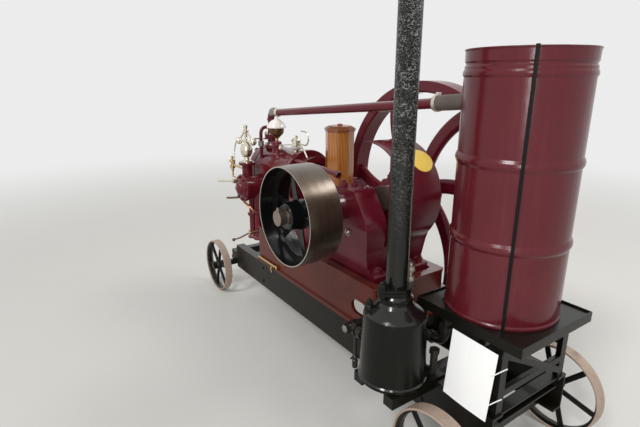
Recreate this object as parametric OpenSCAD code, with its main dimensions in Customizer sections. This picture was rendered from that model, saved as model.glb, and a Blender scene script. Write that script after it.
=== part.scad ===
// Horizontal single-cylinder oil engine on a four-wheeled iron trolley.
// X runs along the trolley toward the cooling drum, Y across it toward the flywheel, Z up from the ground.
// Stations along X and heights along Z are measured on the trolley; Y is measured from its centreline.

/* [Trolley frame] */
// Depth of each side rail
rail_h = 180; // [150:5:200]
// Width of each side rail's flanges
rail_w = 62; // [50:1:80]
// Thickness of a rail's web
rail_web = 8; // [5:0.5:12]
// Thickness of a rail's flanges
rail_flange = 12; // [8:0.5:16]
// Half the width over the rails' outer faces
rail_out = 262; // [240:1:280]
// Height of the rails' top faces
rail_top = 430; // [420:1:460]
// Station of the rails' front ends
rail_front = -1110; // [-1150:5:-1060]
// Station of the rails' rear ends
rail_rear = 1250; // [1245:5:1290]
// Width of each cross member along the trolley
cross_w = 50; // [40:1:70]
// Wall of each cross member
cross_t = 8; // [5:0.5:12]
// Station of each cross member's front face, and its share of the rails' depth
cross_table = [[-690, 1], [430, 1], [860, 1], [1195, 0.28]];
// Size of the front carrier's square bars
carrier_bar = 60; // [40:1:70]
// Station where the front carrier's bars end under the rails
carrier_rear = -820; // [-900:5:-780]

/* [Wheels and axles] */
// Radius of the front wheels
front_r = 207; // [190:1:220]
// Radius of the rear wheels
rear_r = 225; // [215:1:235]
// Width of the front tyres
front_tyre_w = 57; // [45:1:65]
// Width of the rear tyres
rear_tyre_w = 63; // [50:1:75]
// Distance of the front tyres' inner faces from the centreline
front_tyre_in = 307; // [300:1:330]
// Distance of the rear tyres' inner faces from the centreline
rear_tyre_in = 395; // [380:1:420]
// Station of the front axle
front_axle_x = -1322; // [-1340:1:-1300]
// Station of the rear axle
rear_axle_x = 1130; // [1110:1:1150]
// Thickness of the iron tyres
tyre_t = 9; // [6:0.5:12]
// Number of spokes in a trolley wheel
wheel_spokes = 6; // [5:1:8]
// Width of a trolley wheel's spoke
spoke_w = 26; // [20:1:32]
// Thickness of a spoke's web
spoke_t = 8; // [6:0.5:12]
// Radius of a trolley wheel's hub
wheel_hub_r = 38; // [34:1:46]
// How far a wheel's hub stands out beyond its tyre on each side
wheel_hub_over = 10; // [6:1:14]
// Side of the square axle bars
axle_bar = 40; // [30:1:44]
// Radius of the round axle ends
spindle_r = 20; // [16:0.5:24]
// Radial running clearance on the axle ends and in the crank bearings
run_gap = 0.05; // [0.02:0.01:0.09]
// Side clearance of a wheel's hub
side_gap = 4; // [2:0.5:6]
// Thickness of the collar that keeps a wheel on
keeper_t = 6; // [4:0.5:8]
// Radius of the collar that keeps a wheel on
keeper_r = 31; // [28:1:36]
// Length of the axle end outside its collar
spindle_tip = 8; // [4:1:14]

/* [Engine bed] */
// Station of the bed's front wall
bed_front = -750; // [-770:5:-740]
// Station of the bed's rear wall
bed_rear = 535; // [520:5:560]
// Half the width over the bed's side walls
bed_half = 250; // [240:1:256]
// Thickness of the bed's walls
bed_wall = 14; // [10:1:20]
// Height of the bed's rim
bed_top = 690; // [670:1:710]
// Thickness of the bed's base flange
bed_flange_t = 20; // [14:1:26]
// How far the base flange stands out past the walls
bed_flange_out = 12; // [8:1:12]
// Width of the rim round the bed's top
rim_w = 50; // [36:1:60]
// Depth of the rim's edge band
rim_t = 16; // [10:1:24]
// Depth of the oil tray inside the rim
tray_sunk = 25; // [15:1:35]
// Corner radius of the bed
bed_corner = 26; // [15:1:40]
// Length of the inspection slot in each side
slot_len = 124; // [90:1:150]
// Height of the inspection slot
slot_h = 78; // [50:1:90]
// Station of the slot's middle
slot_x = 412; // [380:1:420]
// Height of the slot's middle
slot_z = 541; // [530:1:560]
// Width of the slot's raised border
slot_border = 12; // [8:1:16]

/* [Crank and frame] */
// Station of the crankshaft
crank_x = 249; // [230:1:260]
// Height of the crankshaft
crank_z = 1057; // [1050:1:1070]
// Radius of the crankshaft's journals
shaft_r = 40; // [36:0.5:44]
// Throw of the crank
throw = 148; // [130:1:150]
// Radius of a crank web's rounded pin end
web_end_r = 60; // [54:1:62]
// Thickness of each crank web
web_t = 28; // [22:1:30]
// Distance of the webs' outer faces from the centreline
web_out = 66; // [60:1:68]
// Crank angle as parked, above the horizontal
crank_angle = 20; // [0:5:355]
// Distance of the pedestals' inner faces from the centreline
ped_in = 100; // [90:1:110]
// Distance of the pedestals' outer faces from the centreline
ped_out = 236; // [220:1:240]
// Height of a bearing cap above the shaft's middle
cap_h = 93; // [85:1:100]
// Height of the pedestal's jaws above the shaft's middle
jaw_h = 58; // [50:1:66]
// Half the width of a cap's tongue between the jaws
tongue = 62; // [56:1:66]
// How far a pedestal's outer face draws in down to the bed
ped_taper = 46; // [20:1:48]
// Radius of the bearing barrels beside the pedestals
barrel_r = 70; // [60:1:76]
// Length of the barrel on the pulley's side
barrel_near = 100; // [60:5:120]
// Length of the barrel on the flywheel's side
barrel_far = 24; // [14:1:30]
// Half the width of the trunk between crank and cylinder
trunk_half = 175; // [150:1:190]
// Height of the trunk's cover
trunk_top = 950; // [930:1:960]
// Radius of the crank guard's sheet
hood_r = 290; // [284:1:296]
// Height of the guard's centre above the shaft
hood_rise = 34; // [30:1:40]
// Thickness of the guard's sheet
hood_t = 5; // [3:0.5:7]
// Distance of the guard's near side from the centreline
hood_near = 80; // [78:1:90]
// Distance of the guard's far side from the centreline
hood_far = 174; // [150:1:190]

/* [Flywheel and pulley] */
// Radius of the flywheel
fly_r = 628; // [600:1:640]
// Radial depth of the flywheel's rim
fly_rim = 62; // [50:1:75]
// Distance of the flywheel rim's inner face from the centreline
fly_in = 288; // [280:1:300]
// Width of the flywheel's rim
fly_w = 115; // [90:1:130]
// Radius of the flywheel's hub
fly_hub_r = 98; // [85:1:110]
// Number of the flywheel's spokes
fly_spokes = 6; // [5:1:6]
// Angle at which the first spoke crosses its middle radius
fly_phase = 7; // [0:1:59]
// How much each spoke leans back from the hub to the rim
fly_lean = 30; // [20:1:36]
// Width of a flywheel spoke
fly_spoke_w = 84; // [70:1:95]
// Thickness of a flywheel spoke
fly_spoke_t = 44; // [34:1:54]
// Radius of the belt pulley
pulley_r = 247; // [235:1:255]
// Width of the belt pulley
pulley_w = 178; // [160:1:190]
// Distance of the pulley's outer edge from the centreline
pulley_out = 605; // [590:1:620]
// Thickness of the pulley's rim
pulley_t = 8; // [6:0.5:12]
// Crown of the pulley's face
pulley_crown = 2.5; // [1:0.5:5]
// Radius of the pulley's boss
boss_r = 75; // [68:1:84]
// Number of the pulley's arms
pulley_arms = 6; // [5:1:6]
// How far the crankshaft's end stands out past the pulley
shaft_tip = 32; // [20:1:45]

/* [Cylinder] */
// Station of the jacket's flange on the trunk
flange_x = -450; // [-470:5:-430]
// Radius of the jacket's flange
flange_r = 185; // [178:1:190]
// Thickness of the jacket's flange
flange_t = 40; // [28:1:45]
// Radius of the water jacket
jacket_r = 168; // [160:1:170]
// Station where the jacket meets the head
jacket_end = -960; // [-980:5:-940]
// Length of the cylinder head
head_len = 105; // [80:1:125]
// Radius of the open guide barrel toward the crank
guide_r = 150; // [135:1:160]
// Station of the guide barrel's mouth
guide_mouth = -368; // [-400:2:-362]
// Radius of the valve chest
chest_r = 92; // [80:1:98]
// Station of the valve chest
chest_x = -860; // [-870:1:-850]
// Height of the valve chest
chest_z = 946; // [940:1:955]
// Distance of the chest cover's outer face from the centreline
chest_out = 310; // [295:1:325]
// Distance of the governor's axis from the centreline
gov_y = 250; // [242:1:254]
// How far the neck that carries the governor stands up from the chest
gov_neck_h = 88; // [80:1:96]
// Radius of the governor's balls
gov_ball = 25; // [20:1:28]
// Distance of the governor's balls from its axis
gov_arm = 68; // [60:1:72]

/* [Water side] */
// Radius of the water pipes
pipe_r = 24; // [20:0.5:28]
// Station of the water riser on the jacket
riser_x = -862; // [-866:1:-850]
// Distance of the riser from the centreline
riser_y = 48; // [40:1:54]
// Height of the return pipe at the riser
return_z = 1464; // [1450:1:1480]
// Rise of the return pipe on its way to the drum
return_rise = 135; // [100:1:150]
// Station of the rubber hose's clamped end
hose_x = 640; // [610:1:660]
// Distance of the hose from the centreline
hose_y = 32; // [20:1:50]
// Station of the cold feed below the drum
feed_x = 900; // [890:1:905]
// Distance of the cold feed from the centreline
feed_y = 150; // [130:1:155]
// Height of the cold feed's run to the bed
feed_z = 545; // [520:1:580]
// Radius of the rubber hose
hose_r = 34; // [30:0.5:38]
// Radius of the cooling drum
drum_r = 228; // [220:1:232]
// Height of the cooling drum
drum_h = 1037; // [1000:1:1060]
// Wall of the cooling drum
drum_t = 4; // [3:0.5:6]
// Station of the drum's axis
drum_x = 1052; // [1048:1:1060]
// How far the drum's hoops stand out
hoop_out = 8; // [5:0.5:12]
// Heights of the two rolling hoops above the drum's foot
hoop_heights = [322, 635];
// How far the drum's top bead lies below its rim
bead_drop = 87; // [75:1:100]
// Height of the tray under the drum
tray_top = 765; // [750:1:780]
// Length of the tray
tray_len = 512; // [505:1:520]
// Half the width of the tray
tray_half = 245; // [240:1:255]
// Depth of the tray's angle edge
tray_edge = 36; // [28:1:44]
// Thickness of the tray's plate and edge
tray_t = 5; // [3:0.5:8]
// Height of the lip round the drum's tray
tray_lip = 8; // [4:1:12]
// Leg length of the stand's angle iron
angle_w = 40; // [30:1:50]
// Thickness of the stand's angle iron
angle_t = 5; // [4:0.5:7]
// Width of the drum's hold-down strap
strap_w = 12; // [9:0.5:16]
// Thickness of the strap
strap_t = 3; // [2:0.5:4]
// Angle round the drum at which the strap runs
strap_angle = -52.5; // [-60:0.5:-45]

/* [Fuel and exhaust] */
// Width over the flats of the lagged tank
tank_w = 172; // [150:1:180]
// Height of the lagged tank's staves
tank_h = 425; // [380:1:450]
// Station of the lagged tank
tank_x = -270; // [-290:1:-250]
// Distance of the lagged tank from the centreline
tank_y = 118; // [105:1:125]
// Gap between neighbouring staves
stave_gap = 1.2; // [0.8:0.2:2]
// Radius of the silencer pot at its foot
pot_r = 145; // [138:1:149]
// Radius of the silencer pot at its shoulder
pot_top_r = 135; // [128:1:139]
// Distance along the trolley from the silencer pot to the rear axle
pot_to_axle = 304; // [295:1:315]
// Distance of the silencer pot from the centreline
pot_y = 397; // [395:1:410]
// Height of the silencer pot's foot
pot_z = 442; // [436:1:450]
// Height of the pot's cylindrical wall
pot_h = 320; // [290:1:335]
// Height of the pot's neck flange above the shoulder
pot_neck_h = 113; // [100:1:125]
// Distance of the neck's two bolts from the stack's axis
pot_bolts = 78; // [74:1:84]
// Radius of the exhaust stack
stack_r = 45; // [41:0.5:49]
// Wall of the exhaust stack
stack_t = 5; // [3:0.5:6]
// Height of the exhaust stack's mouth
stack_top = 2300; // [2150:10:2400]
// Radius of the exhaust pipe
exhaust_r = 24; // [20:0.5:26]
// Station where the exhaust leaves the bed's side
exhaust_x = 455; // [435:1:470]
// Height of the exhaust where it leaves the bed
exhaust_z = 480; // [479:1:482]
// Distance of the exhaust's run to the pot from the centreline
exhaust_y = 330; // [325:1:345]
// Width of the beams that carry the pot
bracket_w = 55; // [45:1:60]

/* [Hidden] */
$fn = 64;

cut = 1;
maroon = "#6a2433";
bed_red = "#5f2228";
iron_black = "#1c1d1c";
bare_steel = "#6a5c4c";
bright = "#c9c6bc";
brass = "#b8923f";

rail_z0 = rail_top - rail_h;
rail_in = rail_out - rail_w;
rail_len = rail_rear - rail_front;
front_hub_out = front_tyre_in + front_tyre_w + wheel_hub_over;
rear_hub_out = rear_tyre_in + rear_tyre_w + wheel_hub_over;
rear_reach = rear_hub_out + 1 + keeper_t + spindle_tip;
shaft_near = pulley_out + shaft_tip;
// Moves the model so that its origin lies on the ground under the middle of its box
x_shift = (front_r - rear_r - front_axle_x - rear_axle_x) / 2;
y_shift = (shaft_near - rear_reach) / 2;

tray_deck = bed_top - tray_sunk;
boss_in = pulley_out - 135;
boss_out = pulley_out - 12;
fly_mid_y = fly_in + fly_w / 2;
fly_hub_half = 74;
hood_z = crank_z + hood_rise;
hood_start = -60;
hood_end = 95;
flange_face = flange_x - flange_t;
head_end = jacket_end - head_len;
chest_inner = 120;
chest_body_r = chest_r - 8;
gov_base = chest_z + chest_r + gov_neck_h;
gov_x = chest_x - 16;
neck_r = 36;
drum_z = tray_top;
drum_top = drum_z + drum_h;
tray_front = drum_x - tray_len / 2 + 10;
tray_rear = tray_front + tray_len;
tray_under = tray_top - tray_edge;
riser_bend = 40;
hose_z = return_z + return_rise;
return_lean = atan(return_rise / (hose_x - riser_x));
return_start = [riser_x + riser_bend + pipe_r * sin(return_lean) + 0.2, -riser_y, return_z];
return_end = [hose_x + 60, -hose_y, hose_z - (drum_x - drum_r - hose_x) * 0.02];
return_dir = (return_end - return_start) / norm(return_end - return_start);
hose_start = return_start + return_dir * ((hose_x - return_start[0]) / return_dir[0]);
hose_end = hose_start + return_dir * ((drum_x - drum_r + 6 - hose_x) / return_dir[0]);
pot_x = rear_axle_x - pot_to_axle;
pot_shoulder = pot_z + pot_h;
exhaust_boss = 6;
cap_at = [flange_x - 250, -100, crank_z + 335];
tank_z = trunk_top;

// Repeats its children on both sides of the centreline
module both_sides() {
    children();
    mirror([0, 1, 0]) children();
}

// Carries a child from the trolley's own stations to the part's origin
module placed() {
    translate([x_shift, y_shift, 0]) children();
}

// Turns a profile drawn in X and Z into a solid from Y = y0 to Y = y1
module across(y0, y1) {
    translate([0, y1, 0]) rotate([90, 0, 0]) linear_extrude(y1 - y0) children();
}

// A disc or bar on the Y axis from y0 to y1
module rod_y(x, z, r, y0, y1) {
    translate([x, y1, z]) rotate([90, 0, 0]) cylinder(r = r, h = y1 - y0);
}

// A round bar from point a to point b
module rod_between(a, b, r) {
    d = b - a;
    len = norm(d);
    translate(a)
        rotate([0, acos(d[2] / len), atan2(d[1], d[0])])
            cylinder(r = r, h = len);
}

// Flat plan of a rectangle with round corners
module round_plan(x0, x1, half, r) {
    translate([x0 + r, -half]) square([x1 - x0 - 2 * r, 2 * half]);
    translate([x0, -half + r]) square([x1 - x0, 2 * half - 2 * r]);
    for (x = [x0 + r, x1 - r], y = [r - half, half - r]) translate([x, y]) circle(r);
}

// A slab with round corners between two heights
module round_slab(x0, x1, half, r, z0, z1) {
    translate([0, 0, z0]) linear_extrude(z1 - z0) round_plan(x0, x1, half, r);
}

// A slot with round ends about the origin
module slot_plan(len, h) {
    square([len - h, h], center = true);
    for (s = [-1, 1]) translate([s * (len - h) / 2, 0]) circle(h / 2);
}

// Two arcs joined by their common tangents, as a crank web's outline
module link_plan(r1, r2, d) {
    lean = acos((r1 - r2) / d);
    step = (360 - 2 * lean) / 28;
    polygon(concat([for (i = [0:28]) let (a = lean + i * step) [r1 * cos(a), r1 * sin(a)]],
        [for (i = [0:24]) let (a = -lean + i * lean / 12) [d + r2 * cos(a), r2 * sin(a)]]));
}

// Outline of a two-bolt flange: a round middle with a lug at d on each side
module lug_plate_plan(r1, r2, d) {
    lean = acos((r1 - r2) / d);
    polygon([for (side = [0, 180]) each concat(
        [for (i = [0:12]) let (a = side - lean + i * lean / 6) [d * cos(side) + r2 * cos(a), r2 * sin(a)]],
        [for (i = [0:10]) let (a = side + lean + i * (180 - 2 * lean) / 10) [r1 * cos(a), r1 * sin(a)]])]);
}

// An angle iron standing along Z, its corner at the origin and its legs along +X and +Y
module angle_z(len) {
    cube([angle_w, angle_t, len]);
    cube([angle_t, angle_w, len]);
}

// Outline of a rail, its back on the left
module rail_plan() {
    polygon([[0, 0], [rail_w, 0], [rail_w, rail_flange], [rail_web, rail_flange],
        [rail_web, rail_h - rail_flange], [rail_w, rail_h - rail_flange], [rail_w, rail_h], [0, rail_h]]);
}

module chassis_rails() {
    color(iron_black) placed() both_sides()
        translate([rail_front, -rail_out, rail_z0])
            rotate([90, 0, 90]) linear_extrude(rail_len) rail_plan();
}

// One cross member, a channel on edge between the rails, level with their tops
module cross_member(depth) {
    translate([0, 0, rail_top - depth]) difference() {
        translate([0, -rail_in, 0]) cube([cross_w, 2 * rail_in, depth]);
        translate([cross_t, -rail_in - cut, cross_t]) cube([cross_w, 2 * (rail_in + cut), depth - 2 * cross_t]);
    }
}

module cross_members() {
    station = 0;
    share = 1;
    color(iron_black) placed() for (row = cross_table) translate([row[station], 0, 0])
        cross_member(rail_h * row[share]);
}

module front_carrier() {
    front = front_axle_x - carrier_bar / 2;
    packing = [rail_front + 20, carrier_rear - 80];
    color(iron_black) placed() {
        both_sides() translate([front, -rail_in, rail_z0])
            cube([carrier_rear - front, carrier_bar, carrier_bar]);
        both_sides() for (x = packing)
            translate([x, -rail_out + rail_web, rail_z0 + rail_flange])
                cube([60, rail_w - rail_web + cut, carrier_bar - rail_flange]);
        for (x = [front, carrier_rear - carrier_bar])
            translate([x, -rail_in, rail_z0]) cube([carrier_bar, 2 * rail_in, carrier_bar]);
    }
}

// An axle: square bar under the frame, a pad at each rail, round ends, and a collar outside each hub
module axle(x, z, hub_in, hub_out, pad_y, pad_w) {
    bar_end = hub_in - side_gap;
    translate([x - axle_bar / 2, -bar_end, z - axle_bar / 2]) cube([axle_bar, 2 * bar_end, axle_bar]);
    both_sides() {
        translate([x - 45, -pad_y - pad_w, z + axle_bar / 2]) cube([90, pad_w, rail_z0 - z - axle_bar / 2]);
        rod_y(x, z, spindle_r, -hub_out - 1 - keeper_t - spindle_tip, -bar_end + cut);
        rod_y(x, z, keeper_r, -hub_out - 1 - keeper_t, -hub_out - 1);
    }
}

module front_axle() {
    color(iron_black) placed()
        axle(front_axle_x, front_r, front_tyre_in - wheel_hub_over, front_hub_out,
            rail_in - carrier_bar, carrier_bar);
}

module rear_axle() {
    color(iron_black) placed()
        axle(rear_axle_x, rear_r, rear_tyre_in - wheel_hub_over, rear_hub_out, rail_in, rail_w);
}

// An iron tyre lying on its side, its lower face at Z = 0
module tyre(r, w) {
    rotate_extrude($fn = 96)
        polygon([[r - tyre_t, 0], [r - 2, 0], [r, 2], [r, w - 2], [r - 2, w], [r - tyre_t, w]]);
}

// A cast wheel inside its tyre: felloe ring, ribbed spokes and banded hub
module spider(r, w) {
    felloe_out = r - tyre_t - 0.2;
    felloe_in = felloe_out - 12;
    difference() {
        union() {
            rotate_extrude($fn = 96)
                polygon([[felloe_in, w * 0.32], [felloe_out, w * 0.14], [felloe_out, w * 0.86],
                    [felloe_in, w * 0.68]]);
            for (i = [0:wheel_spokes - 1]) rotate([0, 0, i * 360 / wheel_spokes + 12])
                translate([wheel_hub_r - 4, 0, w / 2]) rotate([90, 0, 90])
                    linear_extrude(felloe_in + 2 - wheel_hub_r + 4) {
                        square([spoke_w, spoke_t], center = true);
                        square([spoke_t, spoke_w * 0.8], center = true);
                    }
            translate([0, 0, -wheel_hub_over]) rotate_extrude() {
                hub_len = w + 2 * wheel_hub_over;
                polygon([[0, 0], [wheel_hub_r - 6, 0], [wheel_hub_r - 6, 9], [wheel_hub_r - 9, 12],
                    [wheel_hub_r - 4, hub_len * 0.3], [wheel_hub_r, hub_len * 0.36],
                    [wheel_hub_r, hub_len * 0.64], [wheel_hub_r - 4, hub_len * 0.7],
                    [wheel_hub_r - 9, hub_len - 12], [wheel_hub_r - 6, hub_len - 9],
                    [wheel_hub_r - 6, hub_len], [0, hub_len]]);
            }
        }
        translate([0, 0, -wheel_hub_over - cut])
            cylinder(r = spindle_r + run_gap, h = w + 2 * wheel_hub_over + 2 * cut);
    }
}

// Stands a wheel piece up on its axle, on the near side (side = -1) or the far side (side = 1)
module on_axle(x, z, y_in, side) {
    placed() translate([x, side * y_in, z]) rotate([-90 * side, 0, 0]) children();
}

module front_near_tyre() {
    color("#a98d80") on_axle(front_axle_x, front_r, front_tyre_in, -1) tyre(front_r, front_tyre_w);
}

module front_near_spider() {
    color(iron_black) on_axle(front_axle_x, front_r, front_tyre_in, -1) spider(front_r, front_tyre_w);
}

module front_far_tyre() {
    color("#a98d80") on_axle(front_axle_x, front_r, front_tyre_in, 1) tyre(front_r, front_tyre_w);
}

module front_far_spider() {
    color(iron_black) on_axle(front_axle_x, front_r, front_tyre_in, 1) spider(front_r, front_tyre_w);
}

module rear_near_tyre() {
    color("#a98d80") on_axle(rear_axle_x, rear_r, rear_tyre_in, -1) tyre(rear_r, rear_tyre_w);
}

module rear_near_spider() {
    color(iron_black) on_axle(rear_axle_x, rear_r, rear_tyre_in, -1) spider(rear_r, rear_tyre_w);
}

module rear_far_tyre() {
    color("#a98d80") on_axle(rear_axle_x, rear_r, rear_tyre_in, 1) tyre(rear_r, rear_tyre_w);
}

module rear_far_spider() {
    color(iron_black) on_axle(rear_axle_x, rear_r, rear_tyre_in, 1) spider(rear_r, rear_tyre_w);
}

// The hollow bed: base flange, walls, rim with a sunk oil tray, and a bordered slot in each side
module engine_bed() {
    f = bed_flange_out;
    color(bed_red) placed() difference() {
        union() {
            round_slab(bed_front - f, bed_rear + f, bed_half + f, bed_corner, rail_top, rail_top + bed_flange_t);
            round_slab(bed_front, bed_rear, bed_half, bed_corner, rail_top, bed_top);
            round_slab(bed_front - 3, bed_rear + 3, bed_half + 3, bed_corner + 3, bed_top - rim_t, bed_top);
            both_sides() translate([slot_x, 0, slot_z]) across(bed_half - 2, bed_half + 5)
                slot_plan(slot_len + 2 * slot_border, slot_h + 2 * slot_border);
            rod_y(exhaust_x, exhaust_z, exhaust_r + 8, -bed_half - exhaust_boss, -bed_half + bed_wall + 12);
        }
        round_slab(bed_front + bed_wall, bed_rear - bed_wall, bed_half - bed_wall, bed_corner - bed_wall / 2,
            rail_top - cut, tray_deck - bed_wall);
        round_slab(bed_front + rim_w, bed_rear - rim_w, bed_half - rim_w, bed_corner, tray_deck, bed_top + cut);
        translate([slot_x, 0, slot_z]) across(-bed_half - 20, bed_half + 20) slot_plan(slot_len, slot_h);
    }
}

// Half of the pedestal's outline from its cap down to the bed, measured from the shaft's middle
ped_edge = [[70, cap_h], [84, 84], [112, 46], [137, 10], [160, -24], [178, -58], [188, -92],
    [182, -146], [166, -220], [156, -322], [164, -334], [206, -340], [212, -346], [212, bed_top - crank_z]];

// Outline of a pedestal with its cap, about the shaft's middle
module pedestal_plan() {
    polygon(concat(ped_edge, [for (i = [len(ped_edge) - 1:-1:0]) [-ped_edge[i][0], ped_edge[i][1]]]));
}

// Outline of a bearing cap: a flange over the jaws and a tongue between them
module cap_plan(slack) {
    translate([-300, jaw_h]) square([600, cap_h]);
    translate([slack - tongue, 0]) square([2 * (tongue - slack), jaw_h + cut]);
}

// A pedestal below its cap, its outer face drawn in toward the bed
module pedestal_body() {
    translate([crank_x, 0, crank_z]) intersection() {
        across(-ped_out, -ped_in) difference() {
            pedestal_plan();
            cap_plan(0);
        }
        translate([-300, 0, 0]) rotate([90, 0, 90]) linear_extrude(600)
            polygon([[-ped_in + cut, 200], [-ped_out, 200], [-ped_out, -92],
                [ped_taper - ped_out, bed_top - crank_z - cut], [-ped_in + cut, bed_top - crank_z - cut]]);
    }
}

// The part of a pedestal that stands in the bed's tray
module pedestal_foot() {
    reach = ped_edge[len(ped_edge) - 1][0];
    translate([crank_x - reach, ped_taper - ped_out, tray_deck])
        cube([2 * reach, ped_out - ped_taper - ped_in, tray_sunk + cut]);
}

module crank_pedestals() {
    color(maroon) placed() {
        difference() {
            union() {
                pedestal_body();
                pedestal_foot();
                rod_y(crank_x, crank_z, barrel_r, -ped_out - barrel_near, -ped_out + cut);
            }
            rod_y(crank_x, crank_z, shaft_r + run_gap, -ped_out - barrel_near - cut, -ped_in + cut);
        }
        mirror([0, 1, 0]) difference() {
            union() {
                pedestal_body();
                pedestal_foot();
                rod_y(crank_x, crank_z, barrel_r, -ped_out - barrel_far, -ped_out + cut);
            }
            rod_y(crank_x, crank_z, shaft_r + run_gap, -ped_out - barrel_far - cut, -ped_in + cut);
        }
    }
}

module bearing_caps() {
    color(maroon) placed() both_sides() difference() {
        translate([crank_x, 0, crank_z]) across(-ped_out, -ped_in) intersection() {
            pedestal_plan();
            cap_plan(0.2);
        }
        rod_y(crank_x, crank_z, shaft_r + run_gap, -ped_out - cut, -ped_in + cut);
        rod_y(crank_x, crank_z, barrel_r, -ped_out - cut, -ped_out + 2 * cut);
    }
}

// The trunk between crank and cylinder: cheeks, cover, crank pit floor and rear wall
module trunk() {
    pit_front = crank_x - 230;
    rear_wall = crank_x + 86;
    wall_top = hood_z + hood_r * sin(hood_start);
    color(maroon) placed() {
        difference() {
            union() {
                translate([flange_x, -trunk_half + 30, tray_deck])
                    cube([pit_front - flange_x, 2 * trunk_half - 60, trunk_top - tray_deck]);
                translate([flange_x, -trunk_half, tray_deck])
                    cube([pit_front - flange_x, 2 * trunk_half, trunk_top - tray_deck - 30]);
                both_sides() translate([flange_x, -trunk_half + 30, trunk_top - 30])
                    rotate([0, 90, 0]) cylinder(r = 30, h = pit_front - flange_x);
                translate([flange_x, 0, crank_z]) rotate([0, 90, 0])
                    cylinder(r = guide_r, h = guide_mouth - flange_x);
            }
            translate([guide_mouth - 60, 0, crank_z]) rotate([0, 90, 0])
                cylinder(r = guide_r - 40, h = 60 + cut);
        }
        translate([pit_front - cut, -ped_in, tray_deck])
            cube([rear_wall - pit_front + 2 * cut, 2 * ped_in, 110]);
        translate([rear_wall, -ped_in, tray_deck]) cube([60, 2 * ped_in, wall_top - tray_deck]);
    }
}

// The rolled sheet over the crank, with a cheek on each side of its rear half
module crank_guard() {
    inner = hood_r - hood_t;
    cheek_x = 168;
    color(maroon) placed() translate([crank_x, 0, hood_z]) difference() {
        union() {
            translate([0, hood_far, 0]) rotate([90, 0, 0])
                rotate_extrude(angle = hood_end - hood_start, start = hood_start, $fn = 96)
                    translate([inner, 0]) square([hood_t, hood_far + hood_near]);
            for (y = [-hood_near, hood_far - hood_t]) across(y, y + hood_t) intersection() {
                circle(inner + hood_t / 2, $fn = 96);
                polygon([[cheek_x, 300], [cheek_x, -120], [inner * cos(hood_start), inner * sin(hood_start)],
                    [400, inner * sin(hood_start)], [400, 300]]);
            }
        }
        translate([0, 0, -hood_rise]) across(ped_in - 0.3, ped_out) pedestal_plan();
    }
}

// Crankshaft with its webs, pin and bearing collar, turned to the parked angle
module crankshaft() {
    pin_r = 38;
    far_end = fly_mid_y + fly_hub_half + 10;
    color("#2a2a29") placed() {
        rod_y(crank_x, crank_z, shaft_r, -boss_out, -web_out + cut);
        rod_y(crank_x, crank_z, shaft_r - 2, -shaft_near, -boss_out + cut);
        rod_y(crank_x, crank_z, shaft_r, web_out - cut, far_end);
        translate([crank_x, 0, crank_z]) rotate([0, -crank_angle, 0]) {
            both_sides() across(-web_out, -web_out + web_t) link_plan(shaft_r + 28, web_end_r, throw);
            rod_y(throw, 0, pin_r, -web_out + cut, web_out - cut);
            rod_y(throw, 0, pin_r + 16, -web_out + web_t + 3, web_out - web_t - 3);
        }
    }
}

// Centre of the circle through three points of a plane
function circle_mid(a, b, c) =
    let (d = 2 * (a[0] * (b[1] - c[1]) + b[0] * (c[1] - a[1]) + c[0] * (a[1] - b[1])),
         a2 = a * a,
         b2 = b * b,
         c2 = c * c)
    [(a2 * (b[1] - c[1]) + b2 * (c[1] - a[1]) + c2 * (a[1] - b[1])) / d,
     (a2 * (c[0] - b[0]) + b2 * (a[0] - c[0]) + c2 * (b[0] - a[0])) / d];

function polar(r, a) = [r * cos(a), r * sin(a)];

// One C-shaped spoke: an arc of oval section from the hub through its middle radius to the rim
module fly_spoke() {
    hub_end = fly_hub_r - 14;
    rim_end = fly_r - fly_rim + 4;
    mid_r = hub_end + (rim_end - hub_end) * 0.64;
    p_hub = polar(hub_end, fly_lean * 0.64);
    p_mid = polar(mid_r, 0);
    p_rim = polar(rim_end, -fly_lean * 0.36);
    c = circle_mid(p_hub, p_mid, p_rim);
    bend_r = norm(p_mid - c);
    a_rim = atan2(p_rim[1] - c[1], p_rim[0] - c[0]);
    a_hub = atan2(p_hub[1] - c[1], p_hub[0] - c[0]);
    translate([c[0], c[1], 0])
        rotate_extrude(angle = a_hub - a_rim, start = a_rim, $fn = 128)
            translate([bend_r, 0]) slot_plan(fly_spoke_w, fly_spoke_t);
}

module flywheel() {
    inner = fly_r - fly_rim;
    color(maroon) placed() translate([crank_x, fly_mid_y, crank_z]) rotate([90, 0, 0]) difference() {
        union() {
            rotate_extrude($fn = 128)
                polygon([[inner, -fly_w / 2 + 8], [inner + 8, -fly_w / 2], [fly_r - 3, -fly_w / 2],
                    [fly_r, -fly_w / 2 + 3], [fly_r, fly_w / 2 - 3], [fly_r - 3, fly_w / 2],
                    [inner + 8, fly_w / 2], [inner, fly_w / 2 - 8]]);
            for (i = [0:fly_spokes - 1]) rotate([0, 0, fly_phase + i * 360 / fly_spokes]) fly_spoke();
            rotate_extrude()
                polygon([[0, -fly_hub_half], [fly_hub_r - 12, -fly_hub_half], [fly_hub_r, -fly_hub_half + 14],
                    [fly_hub_r, fly_hub_half - 14], [fly_hub_r - 12, fly_hub_half], [0, fly_hub_half]]);
        }
        translate([0, 0, -fly_hub_half - cut]) cylinder(r = shaft_r + run_gap, h = 2 * fly_hub_half + 2 * cut);
    }
}

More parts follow.
